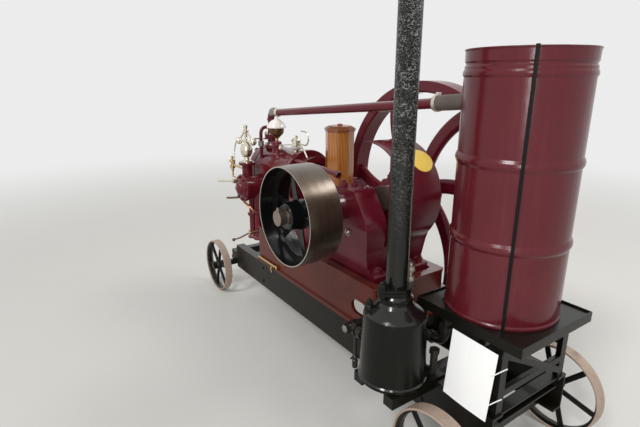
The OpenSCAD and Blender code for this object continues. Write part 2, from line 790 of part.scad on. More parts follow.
// Belt pulley: crowned rim, stiffening ring, thin arms and boss
module belt_pulley() {
    mid = pulley_w / 2;
    inner = pulley_r - pulley_t;
    ring_in = inner - 22;
    color(bare_steel) placed() translate([crank_x, -pulley_out, crank_z]) rotate([-90, 0, 0]) difference() {
        union() {
            rotate_extrude($fn = 128)
                polygon([[inner, 0], [pulley_r - pulley_crown, 0], [pulley_r - pulley_crown / 4, mid / 2],
                    [pulley_r, mid], [pulley_r - pulley_crown / 4, mid * 1.5],
                    [pulley_r - pulley_crown, pulley_w], [inner, pulley_w], [inner - 2, mid + 7],
                    [ring_in, mid + 5], [ring_in, mid - 5], [inner - 2, mid - 7]]);
            for (i = [0:pulley_arms - 1]) rotate([0, 0, i * 360 / pulley_arms + 15])
                translate([0, 0, mid - 4]) linear_extrude(8)
                    polygon([[boss_r - 10, -22], [ring_in + 4, -14], [ring_in + 4, 14], [boss_r - 10, 22]]);
            translate([0, 0, pulley_out - boss_out]) rotate_extrude()
                polygon([[0, 0], [boss_r - 16, 0], [boss_r - 10, 6], [boss_r - 4, mid - 30],
                    [boss_r, mid - 20], [boss_r, mid + 10], [boss_r - 4, boss_out - boss_in],
                    [0, boss_out - boss_in]]);
        }
        translate([0, 0, -cut]) cylinder(r = shaft_r + run_gap, h = pulley_w + 2 * cut);
    }
}

// Water jacket with its flange on the trunk and a foot on the bed
module cylinder_jacket() {
    len = flange_x - jacket_end;
    color(maroon) placed() {
        translate([flange_x, 0, crank_z]) rotate([0, -90, 0]) rotate_extrude($fn = 96)
            polygon([[0, 0], [flange_r - 4, 0], [flange_r, 4], [flange_r, flange_t - 6], [flange_r - 6, flange_t],
                [jacket_r - 10, flange_t + 4], [jacket_r - 12, flange_t + 22], [jacket_r, flange_t + 44],
                [jacket_r, len - 30], [jacket_r + 4, len - 26], [jacket_r + 4, len], [0, len]]);
        translate([bed_front + rim_w + 5, -70, tray_deck]) cube([80, 140, crank_z - jacket_r + 30 - tray_deck]);
        both_sides() translate([bed_front + rim_w + 5, -120, tray_deck]) cube([80, 60, 26]);
    }
}

// Domed cylinder head with its central igniter boss
module cylinder_head() {
    color(maroon) placed() translate([jacket_end, 0, crank_z]) rotate([0, -90, 0]) rotate_extrude($fn = 96)
        polygon([[0, 0], [jacket_r + 4, 0], [jacket_r + 4, 26], [jacket_r - 2, 30], [jacket_r - 4, head_len - 52],
            [jacket_r - 14, head_len - 24], [jacket_r - 34, head_len - 7], [jacket_r - 60, head_len],
            [52, head_len], [50, head_len + 26], [34, head_len + 30], [0, head_len + 30]]);
}

// Round valve chest on the jacket's side, with a bolted cover and the governor's neck
module valve_chest() {
    cover_in = chest_out - 24;
    color(maroon) placed() difference() {
        union() {
            translate([chest_x, -chest_inner, chest_z]) rotate([90, 0, 0]) rotate_extrude()
                polygon([[0, 0], [chest_body_r, 0], [chest_body_r, cover_in - chest_inner - 22],
                    [chest_r, cover_in - chest_inner - 18], [chest_r, cover_in - chest_inner],
                    [chest_r + 6, cover_in - chest_inner], [chest_r + 6, chest_out - chest_inner - 5],
                    [chest_r, chest_out - chest_inner], [54, chest_out - chest_inner],
                    [48, chest_out - chest_inner + 16], [0, chest_out - chest_inner + 16]]);
            translate([gov_x, -gov_y, chest_z]) rotate_extrude()
                polygon([[0, 0], [42, 0], [neck_r, 96], [neck_r, gov_base - chest_z - 26], [58, gov_base - chest_z - 18],
                    [58, gov_base - chest_z], [0, gov_base - chest_z]]);
        }
        translate([flange_x, 0, crank_z]) rotate([0, -90, 0])
            cylinder(r = jacket_r + 0.2, h = 1000, $fn = 96);
        translate([jacket_end + 30, 0, crank_z]) rotate([0, -90, 0])
            cylinder(r = jacket_r + 4.2, h = 300, $fn = 96);
    }
}

// Ball governor: turned stand, pear-shaped case, two balls on arms that hang from a crown, and the crown's loop
module governor() {
    ball_z = 146;
    crown_z = 214;
    turn = 20;
    color(bright) placed() translate([gov_x, -gov_y, gov_base]) rotate([0, 0, turn]) {
        rotate_extrude()
            polygon([[0, 0], [40, 0], [40, 10], [20, 16], [17, 30], [28, 40], [40, 62], [44, 88], [38, 112],
                [24, 130], [17, 138], [17, 154], [11, 160], [11, crown_z - 12], [22, crown_z - 6],
                [22, crown_z + 8], [12, crown_z + 14], [12, crown_z + 26], [17, crown_z + 30],
                [17, crown_z + 40], [8, crown_z + 48], [0, crown_z + 49]]);
        rod_between([-gov_arm, 0, ball_z], [gov_arm, 0, ball_z], 7);
        for (s = [-1, 1]) {
            translate([s * gov_arm, 0, ball_z]) rotate([0, 0, 37]) sphere(gov_ball);
            rod_between([s * (gov_arm - 8), 0, ball_z + 10], [s * 12, 0, crown_z], 6);
        }
    }
}

// Vertical intake pipe below the chest, with a flanged joint and a bell foot
module intake_pipe() {
    x = chest_x + 50;
    y = 44 - gov_y;
    top_z = chest_z;
    low_z = bed_top - 130;
    color(maroon) placed() difference() {
        translate([x, y, low_z]) {
            h = top_z - low_z;
            difference() {
                rotate_extrude()
                    polygon([[0, 0], [44, 0], [44, 8], [34, 26], [29, 48], [28, h * 0.52], [48, h * 0.52],
                        [48, h * 0.52 + 24], [28, h * 0.52 + 24], [28, h], [0, h]]);
                translate([0, 0, -cut]) cylinder(r = 23, h = h * 0.6);
            }
        }
        rod_y(chest_x, chest_z, chest_body_r + 0.2, -chest_out - 30, 0);
    }
}

// Brass fuel fittings beside the head, and the bed's drain pipe with its cock
module fuel_fittings() {
    x = -1076;
    y = -gov_y - 24;
    neck_z = chest_z + 134;
    body_z = chest_z + 44;
    pipe_y = -bed_half - 12.3;
    pipe_z = rail_top + bed_flange_t + 12.3;
    cock_x = -452;
    color(brass) placed() {
        difference() {
            union() {
                translate([x, y, neck_z - 48]) rotate_extrude()
                    polygon([[0, 0], [10, 0], [10, 16], [20, 22], [20, 44], [12, 50], [12, 66], [24, 72],
                        [24, 82], [8, 88], [8, 112], [0, 112]]);
                rod_between([x, y, neck_z], [gov_x, y, neck_z], 9);
                rod_between([x - 40, y, neck_z + 18], [x + 40, y, neck_z + 18], 7);
                rod_between([x, y, neck_z - 40], [x, y, body_z], 6);
                rod_between([x - 6, y, body_z], [chest_x - 40, y, body_z], 7);
            }
            translate([gov_x, -gov_y, chest_z]) cylinder(r = neck_r + 0.2, h = 150);
            rod_y(chest_x, chest_z, chest_r + 0.2, -chest_out, 0);
        }
        rod_between([bed_front + 30, pipe_y, pipe_z], [cock_x, pipe_y, pipe_z], 7);
        rod_between([cock_x - 26, pipe_y, pipe_z], [cock_x + 6, pipe_y, pipe_z], 12);
        rod_between([cock_x - 10, pipe_y, pipe_z], [cock_x - 10, pipe_y - 44, pipe_z], 8);
        rod_between([cock_x - 10, pipe_y - 38, pipe_z - 22], [cock_x - 10, pipe_y - 38, pipe_z + 22], 5);
    }
}

// Hand lever of the fuel regulator on the chest's cover, swung outward
module regulator_lever() {
    pivot = [chest_x - 60, -chest_out - 26, chest_z + 44];
    color(bright) placed() {
        rod_between(pivot, pivot + [-66, -96, 3], 7);
        rod_y(pivot[0], pivot[2], 16, pivot[1] - 12, pivot[1] + 12);
        rod_y(pivot[0], pivot[2], 9, pivot[1], -chest_out);
    }
}

// Sight lubricator on the jacket with its looped feed pipe
module lubricator() {
    x = flange_x - 104;
    y = -32;
    seat_z = crank_z + sqrt(jacket_r * jacket_r - y * y) - 4;
    loop_r = 44;
    color(brass) placed() difference() {
        union() {
            translate([x, y, seat_z]) rotate_extrude()
                polygon([[0, 0], [20, 0], [20, 14], [12, 20], [12, 34], [30, 42], [30, 84], [24, 92], [10, 96],
                    [10, 112], [0, 112]]);
            translate([x + 12, y, seat_z + 58]) rotate([0, 90, 0]) cylinder(r = 5, h = 90);
            translate([x + 102, y, seat_z + 58 + loop_r]) rotate([90, 0, 0])
                rotate_extrude(angle = 180, start = -90) translate([loop_r, 0]) circle(5);
            translate([x + 62, y, seat_z + 58 + 2 * loop_r]) rotate([0, 90, 0]) cylinder(r = 5, h = 40);
            translate([x - 60, y, seat_z + 70]) rotate([0, 90, 0]) cylinder(r = 5, h = 50);
        }
        translate([flange_x - flange_t - 44, 0, crank_z]) rotate([0, -90, 0])
            cylinder(r = jacket_r, h = 200, $fn = 96);
    }
}

// Shade-shaped enamel cap with a rolled edge and a knob
module enamel_cap() {
    cap_r = 67;
    color("#e8e4d8") placed() translate(cap_at) rotate_extrude()
        polygon([[0, 16], [26, 16], [48, 4], [cap_r - 3, -14], [cap_r, -18], [cap_r, -10], [54, 12], [36, 28],
            [20, 36], [14, 38], [14, 50], [8, 56], [0, 57]]);
}

// Brass cup and stem that carry the enamel cap
module cap_stem() {
    seat_z = crank_z + sqrt(jacket_r * jacket_r - cap_at[1] * cap_at[1]) - 14;
    color(brass) placed() difference() {
        translate([cap_at[0], cap_at[1], seat_z]) rotate_extrude() {
            h = cap_at[2] - seat_z;
            polygon([[0, 0], [26, 0], [26, 26], [14, 34], [12, h - 92], [24, h - 80], [46, h - 58], [50, h - 36],
                [50, h - 22], [42, h - 22], [38, h - 34], [12, h - 50], [12, h + 16], [0, h + 16]]);
        }
        translate([flange_x - flange_t - 44, 0, crank_z]) rotate([0, -90, 0])
            cylinder(r = jacket_r, h = 500, $fn = 96);
    }
}

// Riser from the jacket to the return pipe, flanged, with an elbow at its top
module water_riser() {
    seat_z = crank_z + sqrt(jacket_r * jacket_r - riser_y * riser_y) - 6;
    bend = riser_bend;
    color(maroon) placed() difference() {
        union() {
            translate([riser_x, -riser_y, seat_z]) rotate_extrude() {
                h = return_z - bend - seat_z;
                polygon([[0, 0], [58, 0], [58, 24], [40, 32], [34, 44], [34, 70], [54, 74], [54, 100],
                    [34, 104], [30, 130], [pipe_r + 4, h - 20], [pipe_r + 9, h - 16], [pipe_r + 9, h], [0, h]]);
            }
            translate([riser_x + bend, -riser_y, return_z - bend]) rotate([90, 0, 0])
                rotate_extrude(angle = 90, start = 90) translate([bend, 0]) circle(pipe_r + 5);
        }
        translate([flange_x - flange_t - 44, 0, crank_z]) rotate([0, -90, 0])
            cylinder(r = jacket_r, h = 500, $fn = 96);
    }
}

// Long return pipe that climbs from the riser toward the drum
module return_pipe() {
    color(maroon) placed() rod_between(return_start, return_end, pipe_r);
}

// Rubber hose that slips over the return pipe and the drum's inlet
module water_hose() {
    color("#5b4d45") placed() difference() {
        rod_between(hose_start, hose_end, hose_r);
        rod_between(hose_start - return_dir * 10, hose_end + return_dir * 10, pipe_r + 0.2);
        translate([drum_x, 0, drum_z]) cylinder(r = drum_r + 0.2, h = drum_h, $fn = 128);
    }
}

module hose_clamp() {
    a = hose_start + return_dir * 8;
    color("#d8cfc0") placed() difference() {
        union() {
            rod_between(a, a + return_dir * 16, hose_r + 4);
            translate(a + return_dir * 8 + [0, 0, hose_r + 6]) cube([14, 20, 14], center = true);
        }
        rod_between(a - return_dir * 5, a + return_dir * 30, hose_r + 0.1);
    }
}

// Cold feed from the drum's bottom through the tray, with a bend, back to the bed's rear wall
module feed_pipe() {
    bend = 60;
    color("#4a3a30") placed() translate([0, -feed_y, 0]) {
        rod_between([feed_x, 0, feed_z + bend], [feed_x, 0, drum_z], pipe_r - 4);
        rod_between([feed_x, 0, feed_z + bend + 6], [feed_x, 0, feed_z + bend + 34], pipe_r + 6);
        rod_between([feed_x, 0, feed_z + bend + 70], [feed_x, 0, feed_z + bend + 86], pipe_r + 4);
        translate([feed_x - bend, 0, feed_z + bend]) rotate([90, 0, 0])
            rotate_extrude(angle = 90, start = 270) translate([bend, 0]) circle(pipe_r - 4);
        rod_between([feed_x - bend, 0, feed_z], [bed_rear, 0, feed_z], pipe_r - 4);
        rod_between([bed_rear + 14, 0, feed_z], [bed_rear, 0, feed_z], pipe_r + 20);
        rod_between([feed_x - bend - 30, 0, feed_z], [feed_x - bend - 6, 0, feed_z], pipe_r + 5);
    }
}

// One ring-shaped swage of the drum's wall, as the points from its lower to its upper edge
function swage(z, out, half) = [[drum_r, z - half], [drum_r + out * 0.8, z - half * 0.45],
    [drum_r + out, z], [drum_r + out * 0.8, z + half * 0.45], [drum_r, z + half]];

// Open-topped steel drum with two rolling hoops, a top bead and a rolled rim
module cooling_drum() {
    bead_z = drum_h - bead_drop;
    wall = concat([[drum_r + 3, 0], [drum_r + 5, 5], [drum_r + 5, 12], [drum_r, 18]],
        swage(hoop_heights[0], hoop_out, 22), swage(hoop_heights[1], hoop_out, 22),
        swage(bead_z, hoop_out * 0.6, 14),
        [[drum_r, bead_z + 24], [drum_r - 4, bead_z + 30], [drum_r - 4, bead_z + 36],
         [drum_r, bead_z + 42], [drum_r + 1, drum_h - 8], [drum_r + 4, drum_h - 4], [drum_r + 3, drum_h]]);
    color(maroon) placed() translate([drum_x, 0, drum_z]) rotate_extrude($fn = 128)
        polygon(concat([[0, 0]], wall, [[drum_r - drum_t - 4, drum_h], [drum_r - drum_t - 4, drum_t], [0, drum_t]]));
}

// Flat strap over the drum's rim and down its side to the tray's edge
module drum_strap() {
    off = drum_r + hoop_out + 1;
    reach = off + strap_t;
    hook_in = drum_r - drum_t - 4 - strap_t - 0.5;
    color("#151515") placed() translate([drum_x, 0, 0]) rotate([0, 0, strap_angle]) {
        translate([off, -strap_w / 2, tray_top]) cube([strap_t, strap_w, drum_top + 0.5 + strap_t - tray_top]);
        translate([hook_in, -strap_w / 2, drum_top + 0.5]) cube([reach - hook_in, strap_w, strap_t]);
        translate([hook_in, -strap_w / 2, drum_top - 40]) cube([strap_t, strap_w, 40.5 + cut]);
    }
}

// Tray of plate on an angle-iron edge, with a hole for the cold feed
module drum_tray() {
    color(iron_black) placed() difference() {
        translate([tray_front, -tray_half, tray_under]) cube([tray_len, 2 * tray_half, tray_edge + tray_lip]);
        translate([tray_front + tray_t, -tray_half + tray_t, tray_under - cut])
            cube([tray_len - 2 * tray_t, 2 * (tray_half - tray_t), tray_edge - tray_t + cut]);
        translate([tray_front + tray_t, -tray_half + tray_t, tray_top])
            cube([tray_len - 2 * tray_t, 2 * (tray_half - tray_t), tray_lip + cut]);
        translate([feed_x, -feed_y, tray_under]) cylinder(r = pipe_r + 4, h = tray_edge + cut);
    }
}

// Welded stand: four angle legs, side rails, a cross rail and a diagonal brace at the rear
module drum_stand() {
    leg_y = tray_half - tray_t;
    x_front = tray_front + tray_t;
    x_rear = tray_rear - tray_t - 70;
    leg_top = tray_top - tray_t;
    brace_w = 28;
    brace_t = 6;
    brace_fall = tray_under - rail_top - 40;
    brace_lean = atan(brace_fall / (2 * leg_y));
    brace_len = (2 * leg_y - brace_w) / cos(brace_lean);
    color(iron_black) placed() {
        both_sides() {
            translate([x_front, -leg_y, rail_top]) angle_z(leg_top - rail_top);
            translate([x_rear, -leg_y, rail_top]) mirror([1, 0, 0]) angle_z(leg_top - rail_top);
        }
        for (x = [x_front, x_rear - angle_t]) translate([x, -leg_y, tray_under - angle_w - 4])
            cube([angle_t, 2 * leg_y, angle_w]);
        translate([x_rear - angle_t, -leg_y, rail_top + 78]) cube([angle_t, 2 * leg_y, angle_w - 10]);
        translate([x_rear - angle_w, -leg_y, rail_top + 78]) cube([angle_w, 2 * leg_y, angle_t]);
        translate([x_front, leg_y - angle_t, rail_top + 140]) cube([x_rear - x_front, angle_t, angle_w]);
        translate([x_rear, -leg_y, tray_under - 4]) rotate([-brace_lean, 0, 0]) translate([0, 0, -brace_w])
            cube([brace_t, brace_len, brace_w]);
    }
}

// One stave of the tank's lagging, a slightly crowned board
module stave() {
    half = tank_w / 2 * tan(22.5) - stave_gap / 2;
    translate([tank_w / 2 - 14, 0, 0]) linear_extrude(tank_h)
        polygon([[0, -half + 6], [11, -half], [14, -half + 4], [14, half - 4], [11, half], [0, half - 6]]);
}

// Octagonal wooden lagging round the tank's core
module lagged_tank() {
    color("#a5642d") placed() translate([tank_x, tank_y, tank_z]) {
        cylinder(r = tank_w / 2 - 12, h = tank_h);
        for (i = [0:7]) rotate([0, 0, 22.5 + i * 45]) stave();
    }
}

// Moulded lid of the tank, an octagon stepped in twice
module tank_lid() {
    half = tank_w / 2 / cos(22.5);
    steps = [[0, 4, 10], [10, 8, 10], [20, -2, 8], [28, -16, 6]];
    color("#6b3e20") placed() translate([tank_x, tank_y, tank_z + tank_h]) {
        for (s = steps) translate([0, 0, s[0]]) cylinder(r = half + s[1], h = s[2], $fn = 8);
        translate([0, 0, 34]) cylinder(r = 16, h = 12);
    }
}

// Cast silencer pot with a foot ring, sloping shoulder and bolted neck
module silencer_pot() {
    socket = pot_shoulder + 42;
    lip = pot_shoulder + pot_neck_h;
    color(iron_black) placed() translate([pot_x, -pot_y, 0]) difference() {
        union() {
            rotate_extrude($fn = 96)
                polygon([[0, pot_z], [pot_r, pot_z], [pot_r + 5, pot_z + 5], [pot_r + 5, pot_z + 18],
                    [pot_r, pot_z + 24], [pot_top_r, pot_shoulder - 22], [pot_top_r - 3, pot_shoulder - 10],
                    [pot_top_r - 12, pot_shoulder], [97, socket - 24], [82, socket - 13], [71, socket],
                    [68, socket + 12], [73, socket + 15], [73, socket + 23], [68, socket + 26], [62, socket + 34],
                    [62, lip - 20], [0, lip - 20]]);
            for (z = [lip - 27, lip - 13]) translate([0, 0, z]) rotate([0, 0, 90])
                linear_extrude(12) lug_plate_plan(64, 20, pot_bolts);
            translate([0, 0, lip - 20]) cylinder(r = 58, h = 18);
        }
        translate([0, 0, socket]) cylinder(r = stack_r + 0.2, h = pot_neck_h);
    }
}

// Tall exhaust stack, open at its mouth
module exhaust_stack() {
    foot = pot_shoulder + 42;
    color(iron_black) placed() translate([pot_x, -pot_y, foot]) difference() {
        cylinder(r = stack_r, h = stack_top - foot);
        translate([0, 0, 10]) cylinder(r = stack_r - stack_t, h = stack_top - foot);
    }
}

// Exhaust pipe: a plugged tee on the bed's side, its run to the pot with a drain cock, and the pot's own drain
module exhaust_pipe() {
    face = -bed_half - exhaust_boss;
    run_y = -exhaust_y;
    drain_x = exhaust_x + 30;
    bend = 34;
    riser_at = [pot_x + 124, -275, pot_z + 26];
    color("#3a3029") placed() difference() {
        union() {
            rod_y(exhaust_x, exhaust_z, exhaust_r, run_y, face);
            rod_y(exhaust_x, exhaust_z, exhaust_r + 5, face - 10, face);
            rod_y(exhaust_x, exhaust_z, exhaust_r + 7, run_y - 34, run_y + 34);
            translate([exhaust_x, run_y - 48, exhaust_z]) rotate([-90, 0, 0])
                cylinder(r = exhaust_r + 3, h = 16, $fn = 6);
            rod_between([exhaust_x, run_y, exhaust_z], [pot_x - 60, run_y, exhaust_z], exhaust_r);
            rod_between([exhaust_x, run_y, exhaust_z], [exhaust_x + 44, run_y, exhaust_z], exhaust_r + 7);
            rod_between([exhaust_x + 70, run_y, exhaust_z], [exhaust_x + 92, run_y, exhaust_z], exhaust_r + 10);
            translate([drain_x, run_y, 256]) rotate_extrude()
                polygon([[0, 0], [13, 0], [15, 3], [15, 44], [10, 50], [14, 56], [17, 62], [14, 68], [9, 74],
                    [9, exhaust_z - 256], [0, exhaust_z - 256]]);
            rod_between([drain_x, run_y - 30, 318], [drain_x, run_y, 318], 5);
            rod_between(riser_at - [80, 0, 0], riser_at - [bend, 0, 0], 16);
            translate(riser_at + [-bend, 0, bend]) rotate([90, 0, 0])
                rotate_extrude(angle = 90, start = 270) translate([bend, 0]) circle(16);
            rod_between(riser_at + [0, 0, bend], riser_at + [0, 0, 120], 16);
            translate(riser_at + [0, 0, 104]) cylinder(r = 23, h = 20, $fn = 6);
        }
        translate([pot_x, -pot_y, 0]) rotate_extrude($fn = 96)
            polygon([[0, pot_z - 10], [pot_r + 5.2, pot_z - 10], [pot_r + 5.2, pot_z + 18.2], [pot_r + 0.2, pot_z + 24.2],
                [pot_top_r + 0.2, pot_shoulder - 16], [0, pot_shoulder - 16]]);
    }
}

// Two beams on the near rail that carry the silencer pot, each with a plate over the rail's top
module pot_bracket() {
    reach = pot_y + pot_r * 0.81;
    color(iron_black) placed() for (x = [pot_x - 91, rear_axle_x - 200]) {
        translate([x - bracket_w / 2, -reach, pot_z - 50]) cube([bracket_w, reach - rail_out, 50]);
        translate([x - bracket_w / 2, -rail_out - cut, rail_top]) cube([bracket_w, rail_w + cut, pot_z - rail_top]);
    }
}

chassis_rails();
cross_members();
front_carrier();
front_axle();
rear_axle();
front_near_tyre();
front_near_spider();
front_far_tyre();
front_far_spider();
rear_near_tyre();
rear_near_spider();
rear_far_tyre();
rear_far_spider();
engine_bed();
crank_pedestals();
bearing_caps();
trunk();
crank_guard();
crankshaft();
flywheel();
belt_pulley();
cylinder_jacket();
cylinder_head();
valve_chest();
governor();
intake_pipe();
fuel_fittings();
regulator_lever();
lubricator();
enamel_cap();
cap_stem();
water_riser();
return_pipe();
hose_clamp();
water_hose();
feed_pipe();
cooling_drum();
drum_strap();
drum_tray();
drum_stand();
lagged_tank();
tank_lid();
silencer_pot();
exhaust_stack();
exhaust_pipe();
pot_bracket();
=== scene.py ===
import math
from collections import namedtuple

import bmesh
import bpy
import numpy as np
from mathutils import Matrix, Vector


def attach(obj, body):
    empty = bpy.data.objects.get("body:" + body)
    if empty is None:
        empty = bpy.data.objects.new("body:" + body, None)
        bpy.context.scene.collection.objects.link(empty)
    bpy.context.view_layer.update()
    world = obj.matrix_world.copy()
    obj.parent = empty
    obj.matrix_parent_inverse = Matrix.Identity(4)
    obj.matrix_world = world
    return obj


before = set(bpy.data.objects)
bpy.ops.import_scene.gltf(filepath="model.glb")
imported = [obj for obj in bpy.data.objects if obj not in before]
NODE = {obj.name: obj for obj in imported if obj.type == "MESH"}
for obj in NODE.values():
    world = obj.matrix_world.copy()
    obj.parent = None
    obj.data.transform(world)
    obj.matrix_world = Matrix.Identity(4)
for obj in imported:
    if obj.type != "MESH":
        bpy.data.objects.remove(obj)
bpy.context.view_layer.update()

# Stations of the main pieces, in millimetres, as the source gives them
CRANK_X, CRANK_Z = 249, 1057
CHEST_X, CHEST_FACE_Y, CHEST_Z = -860, -310, 946
FLANGE_FACE_X, HEAD_RING_X = -490, -1051
RISER_X, RISER_Y = -862, -48
POT_X, POT_Y, NECK_Z = 826, -397, 874

SHIFT = (0.087, 0.077, 0.0)  # metres from those stations' origin to the part's own
UP, NEAR, FRONT = (0, 0, 1), (0, -1, 0), (-1, 0, 0)


# Shapes: surfaces sampled on a grid of two parameters, profiles carried along paths, and copies of them


def at(*rows):
    """Points given by the trolley's own stations in millimetres, as an array in metres in the part's frame."""
    return np.asarray(rows, float) / 1000 + SHIFT


def net(points, round_u=False, round_v=False):
    """A surface sampled as points[u, v]: its vertices, and one face between each four neighbours, closed where it
    goes round."""
    nu, nv = points.shape[:2]
    i, j = np.meshgrid(np.arange(nu - (not round_u)), np.arange(nv - (not round_v)), indexing="ij")
    k, m = (i + 1) % nu, (j + 1) % nv
    faces = np.stack([i * nv + j, k * nv + j, k * nv + m, i * nv + m], -1).reshape(-1, 4)
    return points.reshape(-1, 3), faces


def square_to(direction):
    """Rows u, v, w: w is the direction as a unit vector, and u and v are square to it and to each other."""
    w = np.asarray(direction, float) / np.linalg.norm(direction)
    hint = UP if abs(w[2]) < 0.9 else (1.0, 0.0, 0.0)
    u = np.cross(hint, w)
    u /= np.linalg.norm(u)
    return np.array([u, np.cross(w, u), w])


def turned(profile, sides, foot=(0, 0, 0), along=UP):
    """A lathe shape: foot + r (cos a u + sin a v) + h w, for pairs (r, h) in millimetres and a from 0 to a full
    turn."""
    r, h = np.asarray(profile, float).T / 1000
    u, v, w = square_to(along)
    a = np.linspace(0, 2 * np.pi, sides, endpoint=False)[:, None]
    spokes = np.cos(a) * u + np.sin(a) * v
    return net(np.asarray(foot) + spokes[:, None, :] * r[None, :, None] + h[None, :, None] * w, round_u=True)


def lathe(profile, foot, along, sides):
    """A lathe shape that stands on a point given in millimetres."""
    return turned(profile, sides, at(foot)[0], along)


def carried(path, outline):
    """A closed outline carried along a path: path(t) + x u(t) + y v(t), where u and v stay square to the path and turn
    with it as little as they can. The ends close on the path's own end points."""
    path, outline = np.asarray(path, float), np.asarray(outline, float) / 1000
    ahead = np.gradient(path, axis=0)
    ahead /= np.linalg.norm(ahead, axis=1)[:, None]
    side = square_to(ahead[0])[0]
    rings = []
    for spot, w in zip(path, ahead):
        side = side - w * (side @ w)
        side /= np.linalg.norm(side)
        rings.append(spot + outline[:, :1] * side + outline[:, 1:] * np.cross(w, side))
    first, last = np.broadcast_to(path[0], rings[0].shape), np.broadcast_to(path[-1], rings[0].shape)
    return net(np.array([first, *rings, last]), round_v=True)


def round_bar(r, sides):
    """The outline of a round bar of radius r: (r cos a, r sin a)."""
    a = np.linspace(0, 2 * np.pi, sides, endpoint=False)
    return np.stack([r * np.cos(a), r * np.sin(a)], 1)


def flat_bar(width, thick, corner):
    """The outline of a flat bar with its corners broken."""
    x, y = width / 2, thick / 2
    c = min(corner, y * 0.45)
    return np.array([
        (x, y - c), (x - c, y), (c - x, y), (-x, y - c), (-x, c - y), (c - x, -y), (x - c, -y), (x, c - y),
    ])


def eased(corners, radius, steps=8):
    """A path through corners that turns each one on a parabola: (1-t)^2 a + 2 t (1-t) c + t^2 b, with a and b the
    radius away from the corner c."""
    c = np.asarray(corners, float)
    t = np.linspace(0, 1, steps)[:, None]
    rows = [c[:1]]
    for before, corner, after in zip(c[:-2], c[1:-1], c[2:]):
        a = corner + (before - corner) * min(0.5, radius / 1000 / np.linalg.norm(before - corner))
        b = corner + (after - corner) * min(0.5, radius / 1000 / np.linalg.norm(after - corner))
        rows.append((1 - t) ** 2 * a + 2 * t * (1 - t) * corner + t**2 * b)
    return np.concatenate([*rows, c[-1:]])


def bar(corners, r, bend, sides=10):
    """A round bar or pipe of radius r through corners in millimetres, bent round each one."""
    return carried(eased(at(*corners), bend), round_bar(r, sides))


def copies(shape, places, along):
    """The same shape at each place, with its own Z axis laid along the direction given for it: place + p R."""
    points, faces = shape
    frames = np.array([square_to(d) for d in np.broadcast_to(along, np.shape(places))])
    moved = np.asarray(places)[:, None, :] + np.einsum("nj,kji->kni", points, frames)
    step = np.arange(len(frames))[:, None, None] * len(points)
    return moved.reshape(-1, 3), (faces[None] + step).reshape(-1, faces.shape[1])


def joined(*shapes):
    """Several shapes as one, each one's faces counted on from the vertices before it."""
    counts = np.cumsum([0] + [len(points) for points, _ in shapes[:-1]])
    return np.concatenate([p for p, _ in shapes]), np.concatenate([f + n for (_, f), n in zip(shapes, counts)])


def circle_of(count, radius, centre, along, start):
    """Places at equal angles round a centre given in millimetres: centre + r (cos a u + sin a v)."""
    u, v, _ = square_to(along)
    a = start + np.arange(count)[:, None] * 2 * np.pi / count
    return at(centre)[0] + radius / 1000 * (np.cos(a) * u + np.sin(a) * v)


def nut_and_stud(across, high, stud, proud):
    """A hexagon nut with a turned crown and a washer, on the domed end of its stud, standing along Z."""
    s = across / 2 / math.cos(math.pi / 6)
    washer = [(0, 0), (s * 1.18, 0), (s * 1.18, high * 0.14), (0, high * 0.14)]
    nut = [(0, high * 0.1), (s, high * 0.1), (s, high * 0.86), (s * 0.87, high), (0, high)]
    end = [(stud, high * 0.9), (stud, high + proud * 0.75), (stud * 0.7, high + proud), (0, high + proud * 1.06)]
    return joined(turned(washer, 24), turned(nut, 6), turned(end, 12))


def round_head(r, high):
    """A snap rivet's head: a low dome with its edge square to the plate."""
    a = np.linspace(0, np.pi / 2, 7)
    return turned([(0, -1), (r, -1), *zip(r * np.cos(a), high * np.sin(a))], 16)


def piece(name, shape, finish, body="trolley", crease=38):
    """Makes a shape a mesh that rides on a body: welded, its faces outwards, and its edges sharp past the crease
    angle."""
    points, faces = shape
    mesh = bpy.data.meshes.new(name)
    mesh.from_pydata(points.tolist(), [], faces.tolist())
    skin = bmesh.new()
    skin.from_mesh(mesh)
    bmesh.ops.remove_doubles(skin, verts=skin.verts, dist=2e-6)
    bmesh.ops.recalc_face_normals(skin, faces=skin.faces)
    skin.to_mesh(mesh)
    skin.free()
    mesh.shade_smooth()
    mesh.set_sharp_from_angle(angle=math.radians(crease))
    mesh.materials.append(finish)
    made = bpy.data.objects.new(name, mesh)
    bpy.context.scene.collection.objects.link(made)
    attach(made, body)


# Finishes: effects as node groups, and one material for each finish of the engine


def tone(red, green, blue):
    """A colour picked on screen from 0 to 255, as the linear value that a shader takes."""
    c = np.array([red, green, blue]) / 255
    return (*np.where(c <= 0.04045, c / 12.92, ((c + 0.055) / 1.055) ** 2.4), 1.0)


def feed(tree, socket, value):
    """Joins a socket to another node's output, or sets it to a value."""
    if isinstance(value, bpy.types.NodeSocket):
        tree.links.new(value, socket)
    else:
        socket.default_value = value


def node(tree, kind, sockets=None, **settings):
    """A shader node with its settings and its sockets."""
    made = tree.nodes.new("ShaderNode" + kind)
    for key, value in settings.items():
        setattr(made, key, value)
    for key, value in (sockets or {}).items():
        feed(tree, made.inputs[key], value)
    return made


def effect(name, takes, gives):
    """An empty effect with named inputs and outputs: the group, its inputs' sockets and its outputs' sockets."""
    group = bpy.data.node_groups.new(name, "ShaderNodeTree")
    for label, kind, value in takes:
        socket = group.interface.new_socket(label, in_out="INPUT", socket_type="NodeSocket" + kind)
        socket.default_value = value
    for label, kind in gives:
        group.interface.new_socket(label, in_out="OUTPUT", socket_type="NodeSocket" + kind)
    return group, group.nodes.new("NodeGroupInput").outputs, group.nodes.new("NodeGroupOutput").inputs


def placed(tree, group, **sockets):
    """An effect placed in a material, its inputs given by their names with underscores for spaces."""
    made = tree.nodes.new("ShaderNodeGroup")
    made.node_tree = group
    for key, value in sockets.items():
        feed(tree, made.inputs[key.replace("_", " ")], value)
    return made.outputs


